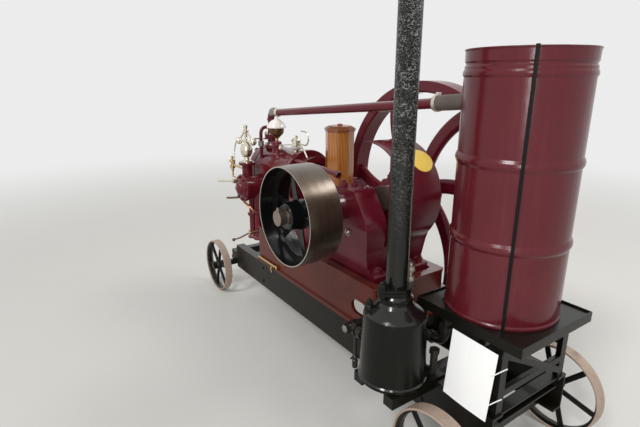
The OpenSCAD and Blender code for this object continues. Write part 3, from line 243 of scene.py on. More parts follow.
def here(tree, scale=(1, 1, 1)):
    """The object's own coordinates in metres, stretched."""
    spot = node(tree, "TexCoord").outputs["Object"]
    return node(tree, "Mapping", {"Vector": spot, "Scale": scale}).outputs[0]


def stations(tree):
    """The object's own coordinates in metres, as three values."""
    return node(tree, "SeparateXYZ", {0: here(tree)}).outputs[:3]


def noise(tree, spot, scale, detail=3.0, rough=0.5):
    """Soft noise at so many lumps in a metre, from 0 to 1."""
    return node(tree, "TexNoise", {"Vector": spot, "Scale": scale, "Detail": detail, "Roughness": rough}).outputs["Fac"]


def ramp(tree, value, low, high, to_low=0.0, to_high=1.0, kind="SMOOTHSTEP"):
    """A value carried from low..high onto to_low..to_high, and held there."""
    sockets = {"Value": value, "From Min": low, "From Max": high, "To Min": to_low, "To Max": to_high}
    return node(tree, "MapRange", sockets, interpolation_type=kind).outputs[0]


def sums(tree, how, a, b=0.0):
    """Arithmetic on two values."""
    return node(tree, "Math", {0: a, 1: b}, operation=how).outputs[0]


def plus(tree, a, b):
    """a + b."""
    return sums(tree, "ADD", a, b)


def minus(tree, a, b):
    """a - b."""
    return sums(tree, "SUBTRACT", a, b)


def times(tree, a, b):
    """a b."""
    return sums(tree, "MULTIPLY", a, b)


def scaled(tree, vector, gain):
    """A colour or a place times a value."""
    return node(tree, "VectorMath", {0: vector, "Scale": gain}, operation="SCALE").outputs[0]


def mixed(tree, share, a, b):
    """Two colours mixed by a share."""
    made = node(tree, "Mix", data_type="RGBA")
    for socket, value in zip((made.inputs[0], made.inputs[6], made.inputs[7]), (share, a, b)):
        feed(tree, socket, value)
    return made.outputs[2]


def weathering():
    """Colour that drifts over a surface: broad lighter and darker clouds, dust where the face looks up, and runs of
    dirt that hang down where it stands upright."""
    takes = [
        ("Color", "Color", (0.5, 0.5, 0.5, 1)), ("Dust Color", "Color", tone(150, 135, 110)),
        ("Cloud", "Float", 0.15), ("Dust", "Float", 0.1), ("Runs", "Float", 0.1), ("Scale", "Float", 6.0),
    ]
    group, takes, gives = effect("Weathering", takes, [("Color", "Color"), ("Dust", "Float")])
    spot = here(group)
    cloud = noise(group, spot, takes["Scale"], 4.0, 0.6)
    drift = times(group, minus(group, cloud, 0.5), times(group, takes["Cloud"], 2.0))
    tinted = scaled(group, takes["Color"], plus(group, 1.0, drift))
    up = node(group, "SeparateXYZ", {0: node(group, "NewGeometry").outputs["Normal"]}).outputs[2]
    level = ramp(group, up, 0.55, 1.0)
    speckle = ramp(group, noise(group, spot, 55, 5, 0.7), 0.35, 0.75)
    dust = times(group, times(group, level, speckle), takes["Dust"])
    upright = ramp(group, sums(group, "ABSOLUTE", up), 0.35, 0.75, 1.0, 0.0)
    streak = ramp(group, noise(group, here(group, (26, 26, 1.3)), 1.0, 4, 0.65), 0.52, 0.82)
    runs = times(group, times(group, upright, streak), takes["Runs"])
    whole = sums(group, "MINIMUM", plus(group, dust, runs), 1.0)
    feed(group, gives["Color"], mixed(group, whole, tinted, takes["Dust Color"]))
    feed(group, gives["Dust"], whole)
    return group


def chipping():
    """Small islands where paint is gone or rust has come through, some more ragged than others."""
    takes, gives = [("Scale", "Float", 40.0), ("Amount", "Float", 0.1)], [("Mask", "Float"), ("Height", "Float")]
    group, takes, gives = effect("Chipping", takes, gives)
    spot = here(group)
    broad = noise(group, spot, times(group, takes["Scale"], 0.16))
    fine = noise(group, spot, takes["Scale"], 7.0, 0.72)
    both = plus(group, times(group, broad, 0.55), times(group, fine, 0.45))
    edge = minus(group, 0.72, times(group, takes["Amount"], 0.3))
    mask = ramp(group, both, edge, plus(group, edge, 0.025), kind="LINEAR")
    feed(group, gives["Mask"], mask)
    feed(group, gives["Height"], times(group, mask, -1.0))
    return group


def cast_skin():
    """Height of a painted casting: long shallow waves, the sand's grain, and the brushed paint's own ripple."""
    takes = [("Waves", "Float", 0.5), ("Sand", "Float", 0.3), ("Ripple", "Float", 0.2)]
    group, takes, gives = effect("Cast skin", takes, [("Height", "Float")])
    spot = here(group)
    waves = times(group, noise(group, spot, 9, 2), takes["Waves"])
    sand = times(group, noise(group, spot, 260, 3, 0.6), takes["Sand"])
    ripple = times(group, noise(group, here(group, (160, 160, 40)), 1.0, 2), takes["Ripple"])
    feed(group, gives["Height"], plus(group, waves, plus(group, sand, ripple)))
    return group


def pitting():
    """Rust pits under paint: round hollows of several sizes that thin out toward clear patches."""
    takes, gives = [("Scale", "Float", 150.0), ("Cover", "Float", 0.5)], [("Height", "Float"), ("Mask", "Float")]
    group, takes, gives = effect("Pitting", takes, gives)
    spot = scaled(group, here(group), takes["Scale"])
    bend = node(group, "TexNoise", {"Vector": spot, "Scale": 2.0}).outputs["Color"]
    warped = node(group, "VectorMath", {0: spot, 1: bend}, operation="ADD").outputs[0]
    cells = node(group, "TexVoronoi", {"Vector": warped, "Scale": 1.0, "Randomness": 1.0}, feature="F1")
    hollow = ramp(group, cells.outputs["Distance"], 0.12, 0.62)
    patch = ramp(group, noise(group, here(group), 14, 4, 0.6), 0.35, 0.6, 0.0, takes["Cover"], "LINEAR")
    mask = times(group, patch, minus(group, 1.0, hollow))
    feed(group, gives["Mask"], mask)
    feed(group, gives["Height"], times(group, mask, -1.0))
    return group


def tool_marks():
    """Fine rings left by a lathe about an axis along Y: noise read along the distance from the axis, and along Y on
    its rim. The shade is the same at a coarser scale."""
    takes = [("Centre X", "Float", 0.0), ("Centre Z", "Float", 0.0), ("Scale", "Float", 900.0)]
    group, takes, gives = effect("Tool marks", takes, [("Height", "Float"), ("Radius", "Float"), ("Shade", "Float")])
    x, y, z = stations(group)
    dx, dz = minus(group, x, takes["Centre X"]), minus(group, z, takes["Centre Z"])
    radius = sums(group, "SQRT", plus(group, times(group, dx, dx), times(group, dz, dz)))

    def rings(across, along):
        """Places on a plane of radius and Y, each times its own scale."""
        return node(group, "CombineXYZ", {0: times(group, radius, across), 1: times(group, y, along)}).outputs[0]

    feed(group, gives["Height"], noise(group, rings(takes["Scale"], takes["Scale"]), 1.0, 2))
    feed(group, gives["Radius"], radius)
    feed(group, gives["Shade"], noise(group, rings(30.0, 70.0), 1.0, 5, 0.6))
    return group


def timber():
    """Wood whose grain runs up: long streaks of dark and light, pores, and a flame figure where the boards cut the
    rings."""
    takes = [("Light", "Color", tone(185, 115, 45)), ("Dark", "Color", tone(110, 58, 20))]
    group, takes, gives = effect("Timber", takes, [("Color", "Color"), ("Height", "Float")])
    figure = {"Vector": here(group, (9, 9, 0.7)), "Scale": 3.0, "Distortion": 7.0, "Detail": 3.0, "Detail Scale": 1.4}
    rings = node(group, "TexWave", figure, bands_direction="DIAGONAL").outputs["Fac"]
    streaks = noise(group, here(group, (120, 120, 3)), 1.0, 5, 0.65)
    pores = ramp(group, noise(group, here(group, (420, 420, 14)), 1.0, 2), 0.6, 0.72)
    share = plus(group, times(group, rings, 0.45), times(group, streaks, 0.6))
    share = plus(group, ramp(group, share, 0.1, 1.0), times(group, pores, 0.2))
    feed(group, gives["Color"], mixed(group, sums(group, "MINIMUM", share, 1.0), takes["Light"], takes["Dark"]))
    feed(group, gives["Height"], plus(group, times(group, streaks, 0.4), times(group, pores, -1.0)))
    return group


WEATHERING, CHIPPING, CAST = weathering(), chipping(), cast_skin()
PITTING, MARKS, TIMBER = pitting(), tool_marks(), timber()


def finish(name, build, **shader):
    """A material: build gives the sockets that vary over the surface, and shader the Principled BSDF's own values.
    Its edges are rounded by the radius in millimetres that build gives, and its bump lies on that rounding."""
    made = bpy.data.materials.new(name)
    made.use_nodes = True
    tree = made.node_tree
    tree.nodes.clear()
    sockets = build(tree)
    height, strength, depth = sockets.pop("bump")
    relief = {"Height": height, "Strength": strength, "Distance": depth}
    edge = sockets.pop("edge", 0)
    if edge:
        relief["Normal"] = node(tree, "Bevel", {"Radius": edge / 1000}, samples=4).outputs[0]
    sockets["Normal"] = node(tree, "Bump", relief).outputs[0]
    values = {key.replace("_", " "): value for key, value in shader.items()}
    surface = node(tree, "BsdfPrincipled", {**values, **sockets})
    node(tree, "OutputMaterial", {"Surface": surface.outputs[0]})
    return made


def enamel_paint(
    name, colour, cloud=0.1, dust=0.06, runs=0.05, chips=0.0, waves=0.5, sand=0.25, rough=0.2, bare=(120, 75, 50),
    edge=2.5, shine=0.35, dirt=(120, 108, 96), top=0.0, level=0.8,
):
    """Gloss paint on iron, with its clouds, dust, chips down to rust, and the casting's skin under it.
    The varnish, top, lies thickest on faces that look up, where it was brushed and ran level."""

    def build(tree):
        aged = placed(
            tree, WEATHERING, Color=tone(*colour), Dust_Color=tone(*dirt), Cloud=cloud, Dust=dust, Runs=runs, Scale=6.0
        )
        worn = placed(tree, CHIPPING, Scale=60.0, Amount=chips)
        skin = placed(tree, CAST, Waves=waves, Sand=sand, Ripple=0.25)["Height"]
        dull = plus(tree, times(tree, aged["Dust"], 0.6), times(tree, worn["Mask"], 0.4))
        sockets = {
            "Base Color": mixed(tree, worn["Mask"], aged["Color"], tone(*bare)),
            "Roughness": plus(tree, rough, dull),
            "bump": (plus(tree, skin, times(tree, worn["Height"], 0.6)), 0.5, 0.0016),
            "edge": edge,
        }
        if top:
            upward = node(tree, "SeparateXYZ", {0: node(tree, "TexCoord").outputs["Normal"]}).outputs[2]
            sockets["Coat Weight"] = ramp(tree, upward, level - 0.25, level + 0.15, 0.0, top)
        return sockets

    return finish(name, build, Specular_IOR_Level=shine, Coat_Roughness=0.1)


MAROON = enamel_paint(
    "Maroon enamel on castings", (94, 19, 33), runs=0.02, waves=0.7, sand=0.5, shine=0.27, rough=0.17, edge=4,
    top=0.7, level=0.5,
)
WHEEL_RED = enamel_paint(
    "Maroon enamel on the flywheel", (94, 19, 33), runs=0.0, waves=0.7, sand=0.5, shine=0.32, rough=0.17, edge=4
)
DRUM_RED = enamel_paint(
    "Maroon enamel on the drum", (90, 25, 34), cloud=0.22, dust=0.05, runs=0.1, waves=2.0, sand=0.1, shine=0.36,
    dirt=(128, 92, 96),
)
BED_RED = enamel_paint(
    "Red oxide bed paint", (86, 28, 18), cloud=0.2, dust=0.03, chips=0.04, waves=0.7, sand=0.5, shine=0.28, edge=5,
    top=1.0,
)
FRAME_BLACK = enamel_paint(
    "Satin black frame paint", (17, 16, 11), cloud=0.3, runs=0.04, chips=0.1, sand=0.6, rough=0.3, shine=0.2,
    bare=(64, 50, 38), dirt=(84, 78, 66), top=0.4,
)
POT_BLACK = enamel_paint(
    "Gloss black pot paint", (17, 18, 14), cloud=0.3, dust=0.02, runs=0.02, chips=0.03, waves=1.2, sand=0.7,
    rough=0.13, shine=0.17, bare=(50, 42, 36), edge=5, top=0.7, level=0.45,
)
SPOKE_BLACK = enamel_paint(
    "Black wheel paint", (20, 19, 17), cloud=0.3, dust=0.08, runs=0.0, chips=0.2, waves=0.4, sand=0.6, rough=0.3,
    shine=0.25, bare=(96, 76, 60), dirt=(90, 82, 70),
)
TANK_LID = enamel_paint(
    "Varnished lid", (142, 84, 50), cloud=0.2, dust=0.1, waves=0.2, sand=0.1, rough=0.25, shine=0.5,
    bare=(90, 52, 30), edge=3,
)

# Where a finish changes, in metres: heights on the stack and on the cap's stem, and radii on the pulley
STACK_SMOOTH, STACK_PITTED = 1.0, 1.4
# Heights where the stack's painted glints start and where they reach their full share
STACK_GLINTS_START, STACK_GLINTS_FULL = 1.08, 1.6
COLUMN_TOP, BOWL_FOOT = 1.286, 1.3125
EDGE_FROM, FACE_FROM = 0.239, 0.243


def stack_skin(tree):
    """Black gloss over deep rust pits and lumps, with painted glints: pale specks painted along the lumps' crests in
    clumps, standing in for highlights and stronger up the stack; all fade out below the middle."""
    pits = placed(tree, PITTING, Scale=78.0, Cover=1.0)
    height = stations(tree)[2]
    rough_part = ramp(tree, height, STACK_SMOOTH, STACK_PITTED, 0.05, 1.0)
    lumps = noise(tree, here(tree, (1, 1, 1.7)), 88, 3, 0.62)
    off_crest = sums(tree, "ABSOLUTE", minus(tree, lumps, 0.575))
    crests = ramp(tree, off_crest, 0.008, 0.028, 1.0, 0.0)
    clumps = ramp(tree, noise(tree, here(tree), 30, 2), 0.36, 0.6, 0.15, 1.0)
    # Painted glints: pale colour on the lumps' crests, in clumps and growing up the stack, stands in for highlights on
    # the pitted gloss
    painted_glints = times(tree, times(tree, crests, clumps), ramp(tree, height, STACK_GLINTS_START, STACK_GLINTS_FULL, 0.0, 0.75))
    aged = placed(tree, WEATHERING, Color=tone(15, 17, 13), Cloud=0.35, Dust=0.0, Runs=0.04, Scale=9.0)
    relief = plus(tree, pits["Height"], times(tree, lumps, 2.0))
    return {
        "Base Color": mixed(tree, painted_glints, aged["Color"], tone(196, 198, 194)),
        "Roughness": plus(tree, 0.12, times(tree, pits["Mask"], 0.08)),
        "bump": (times(tree, relief, rough_part), 1.0, 0.0045),
    }


def tyre_iron(tree):
    """Pale dusty rust on the iron tyres, a little darker in soft patches."""
    pale, chalk = tone(172, 152, 136), tone(196, 180, 164)
    aged = placed(tree, WEATHERING, Color=pale, Dust_Color=chalk, Cloud=0.25, Dust=0.3, Runs=0.1, Scale=18.0)
    rust = placed(tree, CHIPPING, Scale=70.0, Amount=0.6)["Mask"]
    dents = placed(tree, CAST, Waves=1.0, Sand=0.8, Ripple=0.2)["Height"]
    return {
        "Base Color": mixed(tree, times(tree, rust, 0.3), aged["Color"], tone(150, 112, 92)),
        "Roughness": plus(tree, 0.5, times(tree, rust, 0.3)),
        "Metallic": minus(tree, 0.25, times(tree, rust, 0.25)),
        "bump": (dents, 0.7, 0.002),
        "edge": 2.0,
    }


def pulley_metal(tree):
    """Browned steel on the crowned face, a brighter worn edge, and black paint inside the rim, told apart by the
    radius."""
    marks = placed(tree, MARKS, Centre_X=CRANK_X / 1000 + SHIFT[0], Centre_Z=CRANK_Z / 1000, Scale=500.0)
    brown, dirt = tone(98, 84, 68), tone(112, 92, 70)
    aged = placed(tree, WEATHERING, Color=brown, Dust_Color=dirt, Cloud=0.3, Dust=0.05, Runs=0.0, Scale=9.0)
    blotch = ramp(tree, noise(tree, here(tree, (1, 2.2, 1)), 13, 5, 0.65), 0.35, 0.7, 0.0, 0.55)
    face = mixed(tree, blotch, aged["Color"], tone(80, 61, 43))
    face = mixed(tree, ramp(tree, marks["Shade"], 0.35, 0.75, 0.0, 0.22), face, tone(66, 48, 34))
    outer = ramp(tree, marks["Radius"], FACE_FROM - 0.0005, FACE_FROM + 0.0005)
    edge = ramp(tree, marks["Radius"], EDGE_FROM - 0.0002, EDGE_FROM + 0.0002)
    inner = mixed(tree, edge, tone(13, 14, 14), tone(196, 190, 178))
    skin = placed(tree, CAST, Waves=0.8, Sand=0.2, Ripple=0.0)["Height"]
    return {
        "Base Color": mixed(tree, outer, inner, face),
        "Metallic": plus(tree, times(tree, edge, 0.8), times(tree, outer, 0.1)),
        "Roughness": plus(tree, times(tree, edge, 0.18), 0.14),
        "Coat Weight": times(tree, outer, 0.9),
        "bump": (plus(tree, marks["Height"], skin), 0.22, 0.0008),
        "edge": 2.0,
    }


def steel(colour, rough, metal=0.9, cloud=0.25, rust=0.15, rust_colour=(96, 66, 46), depth=0.0006):
    """Turned or forged steel with oil-dark clouds and a little rust."""

    def build(tree):
        aged = placed(tree, WEATHERING, Color=tone(*colour), Cloud=cloud, Dust=0.03, Runs=0.0, Scale=16.0)
        spots = placed(tree, CHIPPING, Scale=120.0, Amount=rust)["Mask"]
        return {
            "Base Color": mixed(tree, times(tree, spots, 0.7), aged["Color"], tone(*rust_colour)),
            "Metallic": times(tree, minus(tree, 1.0, spots), metal),
            "Roughness": plus(tree, rough, times(tree, spots, 0.35)),
            "bump": (placed(tree, CAST, Waves=0.5, Sand=0.6, Ripple=0.4)["Height"], 0.4, depth),
            "edge": 1.5,
        }

    return build


def cap_stem_skin(tree):
    """The bowl is browned bronze, the short stem under it bright brass, and the column below them is painted."""
    height = stations(tree)[2]
    column = ramp(tree, height, COLUMN_TOP - 0.002, COLUMN_TOP + 0.002, 1.0, 0.0)
    bowl = ramp(tree, height, BOWL_FOOT - 0.0015, BOWL_FOOT + 0.0015)
    aged = placed(tree, WEATHERING, Color=tone(204, 180, 134), Cloud=0.2, Dust=0.03, Runs=0.0, Scale=16.0)
    below = mixed(tree, column, aged["Color"], tone(98, 22, 38))
    return {
        "Base Color": mixed(tree, bowl, below, tone(92, 62, 38)),
        "Metallic": minus(tree, 1.0, sums(tree, "MAXIMUM", column, times(tree, bowl, 0.35))),
        "Roughness": plus(tree, 0.2, times(tree, bowl, 0.12)),
        "bump": (placed(tree, CAST, Waves=0.5, Sand=0.4, Ripple=0.4)["Height"], 0.4, 0.0004),
    }


def wood_skin(light, dark):
    """Varnished timber with its grain upright."""

    def build(tree):
        grain = placed(tree, TIMBER, Light=tone(*light), Dark=tone(*dark))
        aged = placed(tree, WEATHERING, Color=grain["Color"], Cloud=0.12, Dust=0.04, Runs=0.04, Scale=8.0)
        return {
            "Base Color": aged["Color"],
            "Roughness": plus(tree, 0.24, times(tree, aged["Dust"], 0.6)),
            "bump": (grain["Height"], 0.3, 0.0005),
            "edge": 2.0,
        }

    return build


def plain(colour, rough, cloud, dust, sand, edge=0.0):
    """A simple surface with slight clouds, dust and a fine skin."""

    def build(tree):
        aged = placed(tree, WEATHERING, Color=tone(*colour), Cloud=cloud, Dust=dust, Runs=0.04, Scale=14.0)
        return {
            "Base Color": aged["Color"],
            "Roughness": plus(tree, rough, times(tree, aged["Dust"], 0.5)),
            "bump": (placed(tree, CAST, Waves=0.3, Sand=sand, Ripple=0.2)["Height"], 0.35, 0.0006),
            "edge": edge,
        }

    return build


STACK = finish("Pitted black stack", stack_skin, Specular_IOR_Level=0.36)
TYRE = finish("Rusted tyre iron", tyre_iron)
PULLEY = finish("Belt pulley iron", pulley_metal, Specular_IOR_Level=0.4, Coat_Roughness=0.26)
SHAFT = finish("Oiled shaft steel", steel((150, 134, 124), 0.3))
BRIGHT = finish("Polished bright steel", steel((222, 216, 198), 0.14, 1.0, 0.15, 0.0, depth=0.0003))
BOLT = finish("Worn nut steel", steel((150, 142, 134), 0.3, cloud=0.3))
RUSTY = finish("Rusty iron", steel((104, 74, 56), 0.55, 0.4, 0.35, 0.6))
PIPE = finish("Blackened iron pipe", steel((44, 41, 36), 0.26, 0.35, 0.35, 0.12, (78, 60, 48)), Specular_IOR_Level=0.35)
BRASS = finish("Polished brass", steel((206, 182, 134), 0.2, 1.0, 0.2, 0.0, depth=0.0003))
COPPER = finish("Drawn copper", steel((206, 142, 108), 0.25, 1.0, 0.2, 0.0, depth=0.0003))
ZINC = finish("Pale zinc", steel((206, 200, 188), 0.38, 0.7, 0.12, 0.05))
STEM = finish("Brass bowl on a painted column", cap_stem_skin)
ENAMEL = finish(
    "White vitreous enamel", plain((240, 234, 228), 0.12, 0.05, 0.03, 0.05), Coat_Weight=0.5, Coat_Roughness=0.04
)
RUBBER = finish("Dusty brown rubber", plain((98, 88, 80), 0.55, 0.15, 0.2, 0.8))
STRAP = finish("Black webbing", plain((15, 13, 13), 0.55, 0.15, 0.02, 1.0, edge=1.0), Specular_IOR_Level=0.15)
WOOD = finish("Varnished staves", wood_skin((184, 118, 56), (146, 86, 34)), Coat_Weight=0.3, Coat_Roughness=0.12)
CARD = finish(
    "White laminated card", plain((252, 252, 251), 0.2, 0.01, 0.0, 0.1), Coat_Weight=0.3, Coat_Roughness=0.08
)
TIE = finish("White nylon", plain((238, 238, 232), 0.4, 0.02, 0.0, 0.1), Subsurface_Weight=0.1)
YELLOW = finish("Yellow disc enamel", plain((252, 214, 96), 0.25, 0.05, 0.02, 0.1), Coat_Weight=0.3)

COVERINGS = {
    MAROON: (
        "crank_pedestals bearing_caps trunk crank_guard cylinder_jacket cylinder_head valve_chest intake_pipe "
        "water_riser return_pipe"
    ),
    WHEEL_RED: "flywheel",
    DRUM_RED: "cooling_drum",
    BED_RED: "engine_bed",
    FRAME_BLACK: (
        "chassis_rails cross_members front_carrier front_axle rear_axle drum_tray drum_stand pot_bracket"
    ),
    SPOKE_BLACK: "front_near_spider front_far_spider rear_near_spider rear_far_spider",
    TYRE: "front_near_tyre front_far_tyre rear_near_tyre rear_far_tyre",
    POT_BLACK: "silencer_pot",
    STACK: "exhaust_stack",
    SHAFT: "crankshaft",
    PULLEY: "belt_pulley",
    BRIGHT: "governor regulator_lever lubricator",
    BRASS: "fuel_fittings",
    STEM: "cap_stem",
    ENAMEL: "enamel_cap",
    ZINC: "hose_clamp",
    RUBBER: "water_hose",
    PIPE: "feed_pipe exhaust_pipe",
    STRAP: "drum_strap",
    WOOD: "lagged_tank",
    TANK_LID: "tank_lid",
}
for covering, names in COVERINGS.items():
    for name in names.split():
        NODE[name].data.materials.clear()
        NODE[name].data.materials.append(covering)


# Pieces that the photograph shows on the castings: studs and nuts, turned fittings, rods and pipes, the disc and the
# card. Places are in millimetres, by the trolley's own stations.

# Studs, nuts and screws: the same shape at several places
Fastening = namedtuple("Fastening", "name shape places along finish slot")

cap_bolts_y = (-206, -130, 130, 206)
cap_front_row = at(*[(CRANK_X - 46, y, 1150) for y in cap_bolts_y])
cap_back_row = at(*[(CRANK_X + 46, y, 1150) for y in cap_bolts_y])
head = circle_of(8, 141, (HEAD_RING_X, 0, CRANK_Z), FRONT, 0.2)
flange = circle_of(12, 171, (FLANGE_FACE_X, 0, CRANK_Z), FRONT, 0.13)
chest = circle_of(8, 79, (CHEST_X, CHEST_FACE_Y, CHEST_Z), NEAR, 0.2)
riser = np.concatenate([circle_of(4, 48, (RISER_X, RISER_Y, z), UP, 0.78) for z in (1236, 1312)])
feet = at(*[(CRANK_X + x, y, 717) for x in (-184, 184) for y in (-156, 156)])
# The trunk's deck has no screw where the lagged tank stands
deck = at(*[(x, y, 950) for x in (-420, -220, -20) for y in (-130, 130) if (x, y) != (-220, 130)])
rails = [(x, side * 262, z) for x in (-665, 455, 885) for z in (290, 390) for side in (-1, 1)]
outward = [(0, side, 0) for _, side, _ in np.sign(rails)]
collar = nut_and_stud(30, 20, 11, 12)
near_stud, far_stud = (POT_X, POT_Y - 78, NECK_Z), (POT_X, POT_Y + 78, NECK_Z)
boss = (POT_X - 63, POT_Y - 92.5, 782)

FASTENINGS = [
    Fastening("cap_nuts", nut_and_stud(36, 24, 13, 14), cap_front_row, UP, MAROON, "maroon"),
    Fastening("cap_screws", round_head(13, 8), cap_back_row, UP, MAROON, "maroon"),
    Fastening("head_nuts", nut_and_stud(26, 20, 9, 12), head, FRONT, BOLT, "dark_steel"),
    Fastening("flange_nuts", nut_and_stud(19, 15, 7, 8), flange, FRONT, MAROON, "maroon"),
    Fastening("chest_nuts", nut_and_stud(15, 9, 5, 5), chest, NEAR, MAROON, "maroon"),
    Fastening("riser_nuts", nut_and_stud(14, 10, 5, 5), riser, UP, BOLT, "dark_steel"),
    Fastening("foot_nuts", nut_and_stud(34, 24, 12, 16), feet, UP, MAROON, "maroon"),
    Fastening("deck_screws", round_head(9, 5), deck, UP, MAROON, "maroon"),
    Fastening("rail_bolts", round_head(12, 8), at(*rails), outward, FRAME_BLACK, "black"),
    Fastening("neck_near_nut", collar, at(near_stud), UP, POT_BLACK, "black"),
    Fastening("pot_boss_nut", nut_and_stud(24, 16, 8, 10), at((boss[0], boss[1], 786)), UP, POT_BLACK, "black"),
]
for row in FASTENINGS:
    piece(row.name, copies(row.shape, row.places, row.along), row.finish)

# The silencer's neck: its far stud is long and carries two nuts, one at the flange and one near its top
far_nuts = copies(collar, at(far_stud, (far_stud[0], far_stud[1], NECK_Z + 44)), UP)
long_stud = lathe([(0, 0), (10, 0), (10, 78), (7, 82), (0, 82)], far_stud, UP, 14)
piece("neck_nuts", joined(far_nuts, long_stud), BOLT)

# Turned fittings. A profile is pairs of radius and height over the foot, and the foot stands on the piece that
# carries the fitting.
Turned = namedtuple("Turned", "name profile foot along sides finish slot")

# The valve chest's cover is a stepped dome turned about its own middle
COVER = [(0, 36), (14, 36), (20, 33), (30, 31), (40, 27), (46, 19), (48, 11), (55, 8), (63, 7), (67, 4), (68, -2)]
DOME = [(0, 21), (8, 19), (14, 14), (17, 7), (18, 4), (23, 4), (23, -8)]
BOSS = [(0, 4), (16, 4), (19, 0), (19, -44), (0, -44)]
COLUMN = [
    (0, -46), (46, -46), (46, 12), (42, 18), (36, 22), (33, 34), (33, 58),
    (40, 61), (40, 72), (33, 75), (32, 92), (28, 98), (15, 101), (0, 101),
]
GLASS = [(0, -15), (7, -14), (13, -6), (13, 6), (8, 13), (4, 15), (4, 24), (0, 24)]
UNION = [(0, -10), (29, -10), (34, -4), (36, 14), (32, 30), (27, 40), (27, 62), (0, 62)]
RING = [(0, 60), (26, 60), (31, 63), (31, 73), (28, 77), (24.5, 78), (0, 78)]
BARREL = [(0, -22), (12, -22), (21, -17), (21, 17), (12, 22), (0, 22)]
DISH = [(0, -6), (12, -6), (30, -2), (42, 8), (45, 13), (42, 14), (30, 5), (20, 2), (20, 0)]
MOUTH = [(0, -6), (12, -6), (12, 22), (17, 25), (21, 21), (21, -8), (15, -12), (0, -12)]
# A black disc set in the breather tube's mouth as painted shade for its dark bore
PAINTED_BORE_SHADE = [(0, 2), (11.8, 2), (11.8, -2), (0, -2)]
AIR = [
    (0, 0), (42, 0), (42, 8), (30, 20), (26, 34), (26, 168), (38, 172), (38, 190), (26, 194), (26, 330), (0, 330),
]
KNOB = [(0, -14), (9, -12), (13, -4), (13, 4), (9, 12), (0, 14)]
TAP = [(0, -18), (8, -18), (11, -8), (8, 4), (12, 8), (12, 20), (0, 22)]
PLUG = [(0, 7), (11, 7), (17, 4), (21, 1), (21, -2), (0, -2)]

return_foot, return_climb = (-838, -48, 1463), (1519.6, 16, 131.3)
tube_end, tube_aim = (2, -104, 1168), (152, 0, -10)

FITTINGS = [
    Turned("chest_cover", COVER, (CHEST_X, CHEST_FACE_Y, CHEST_Z), NEAR, 48, MAROON, "maroon"),
    Turned("pedestal_bolt", DOME, (276, -226, 920), NEAR, 24, BOLT, "dark_steel"),
    Turned("pot_boss", BOSS, boss, UP, 24, POT_BLACK, "black"),
    Turned("cap_column", COLUMN, (-700, -100, 1182), UP, 40, MAROON, "maroon"),
    Turned("drip_glass", GLASS, (-655, -100, 1240), UP, 20, ZINC, "clamp"),
    Turned("pipe_union", UNION, return_foot, return_climb, 28, BOLT, "dark_steel"),
    Turned("union_ring", RING, return_foot, return_climb, 28, ZINC, "clamp"),
    Turned("breather_barrel", BARREL, (-862, -139, 1250), UP, 20, BOLT, "dark_steel"),
    Turned("oil_dish", DISH, (-554, -32, 1240), UP, 36, ENAMEL, "enamel"),
    # The black disc in the breather tube's mouth is painted shade for the dark bore
    Turned("tube_bore_painted_shade", PAINTED_BORE_SHADE, tube_end, tube_aim, 20, FRAME_BLACK, "black"),
    Turned("air_pipe", AIR, (-872, -222, 560), UP, 28, MAROON, "maroon"),
    Turned("low_tap", TAP, (-880, -248, 596), UP, 18, BRASS, "brass"),
    Turned("tee_plug", PLUG, (455, -378, 480), NEAR, 6, BOLT, "dark_steel"),
]
for row in FITTINGS:
    piece(row.name, lathe(row.profile, row.foot, row.along, row.sides), row.finish)

# Rods and small pipes: corners that each one passes, its radius, and how far from a corner its bend starts
Rod = namedtuple("Rod", "name corners radius bend sides finish slot")

RODS = [
    Rod("governor_rod", [(-868, -214, 1290), (-866, -60, 1277)], 5, 12, 10, BRIGHT, "bright"),
    Rod(
        "governor_link", [(-1060, -266, 1122), (-1064, -256, 1196), (-1054, -250, 1246), (-1004, -250, 1264)],
        5, 22, 10, BRIGHT, "bright",
    ),
    Rod(
        "breather_pipe", [(-862, -139, 1140), (-862, -139, 1362), (-862, -62, 1364)],
        12, 52, 14, MAROON, "maroon",
    ),
    Rod("oil_feed", [(-668, -98, 1258), (-592, -60, 1266), (-548, -34, 1270)], 4, 20, 10, ZINC, "clamp"),
    Rod(
        "oil_drain", [(-520, -40, 1262), (-400, -84, 1266), (-372, -90, 1262), (-330, -90, 1214)],
        5, 24, 10, ZINC, "clamp",
    ),
    Rod("fuel_rod", [(-1150, -300, 812), (-1040, -300, 836), (-886, -296, 872)], 8, 12, 10, RUSTY, "pipe"),
    Rod(
        "injector_pipe", [(-893, -292, 884), (-884, -290, 842), (-790, -270, 806), (-802, -216, 752)],
        9, 30, 10, COPPER, "copper",
    ),
]
for row in RODS:
    piece(row.name, bar(row.corners, row.radius, row.bend, row.sides), row.finish)

# A maroon tube that comes out of the cylinder's flange and lies on the guide, open at its end; a black disc in its
# mouth is painted shade for the dark bore
tube = bar([(-455, -104, 1180), (-150, -104, 1178), tube_end], 15, 60, 20)
piece("breather_tube", joined(tube, lathe(MOUTH, tube_end, tube_aim, 24)), MAROON)

# A pipe that runs down to the front and ends in a knob
low_pipe = bar([(-752, -238, 646), (-913, -250, 578), (-1063, -250, 500), (-1180, -250, 452)], 6, 40)
low_knob = lathe(KNOB, (-1186, -250, 449), (-1, 0, -0.4), 16)
piece("low_pipe", joined(low_pipe, low_knob), RUSTY)

# The head of the key that holds the pulley on the shaft's end
key_path = at((CRANK_X + 6, -636, CRANK_Z + 43), (CRANK_X + 6, -594, CRANK_Z + 41))
piece("shaft_key", carried(key_path, flat_bar(22, 20, 2)), SHAFT, body="crank")

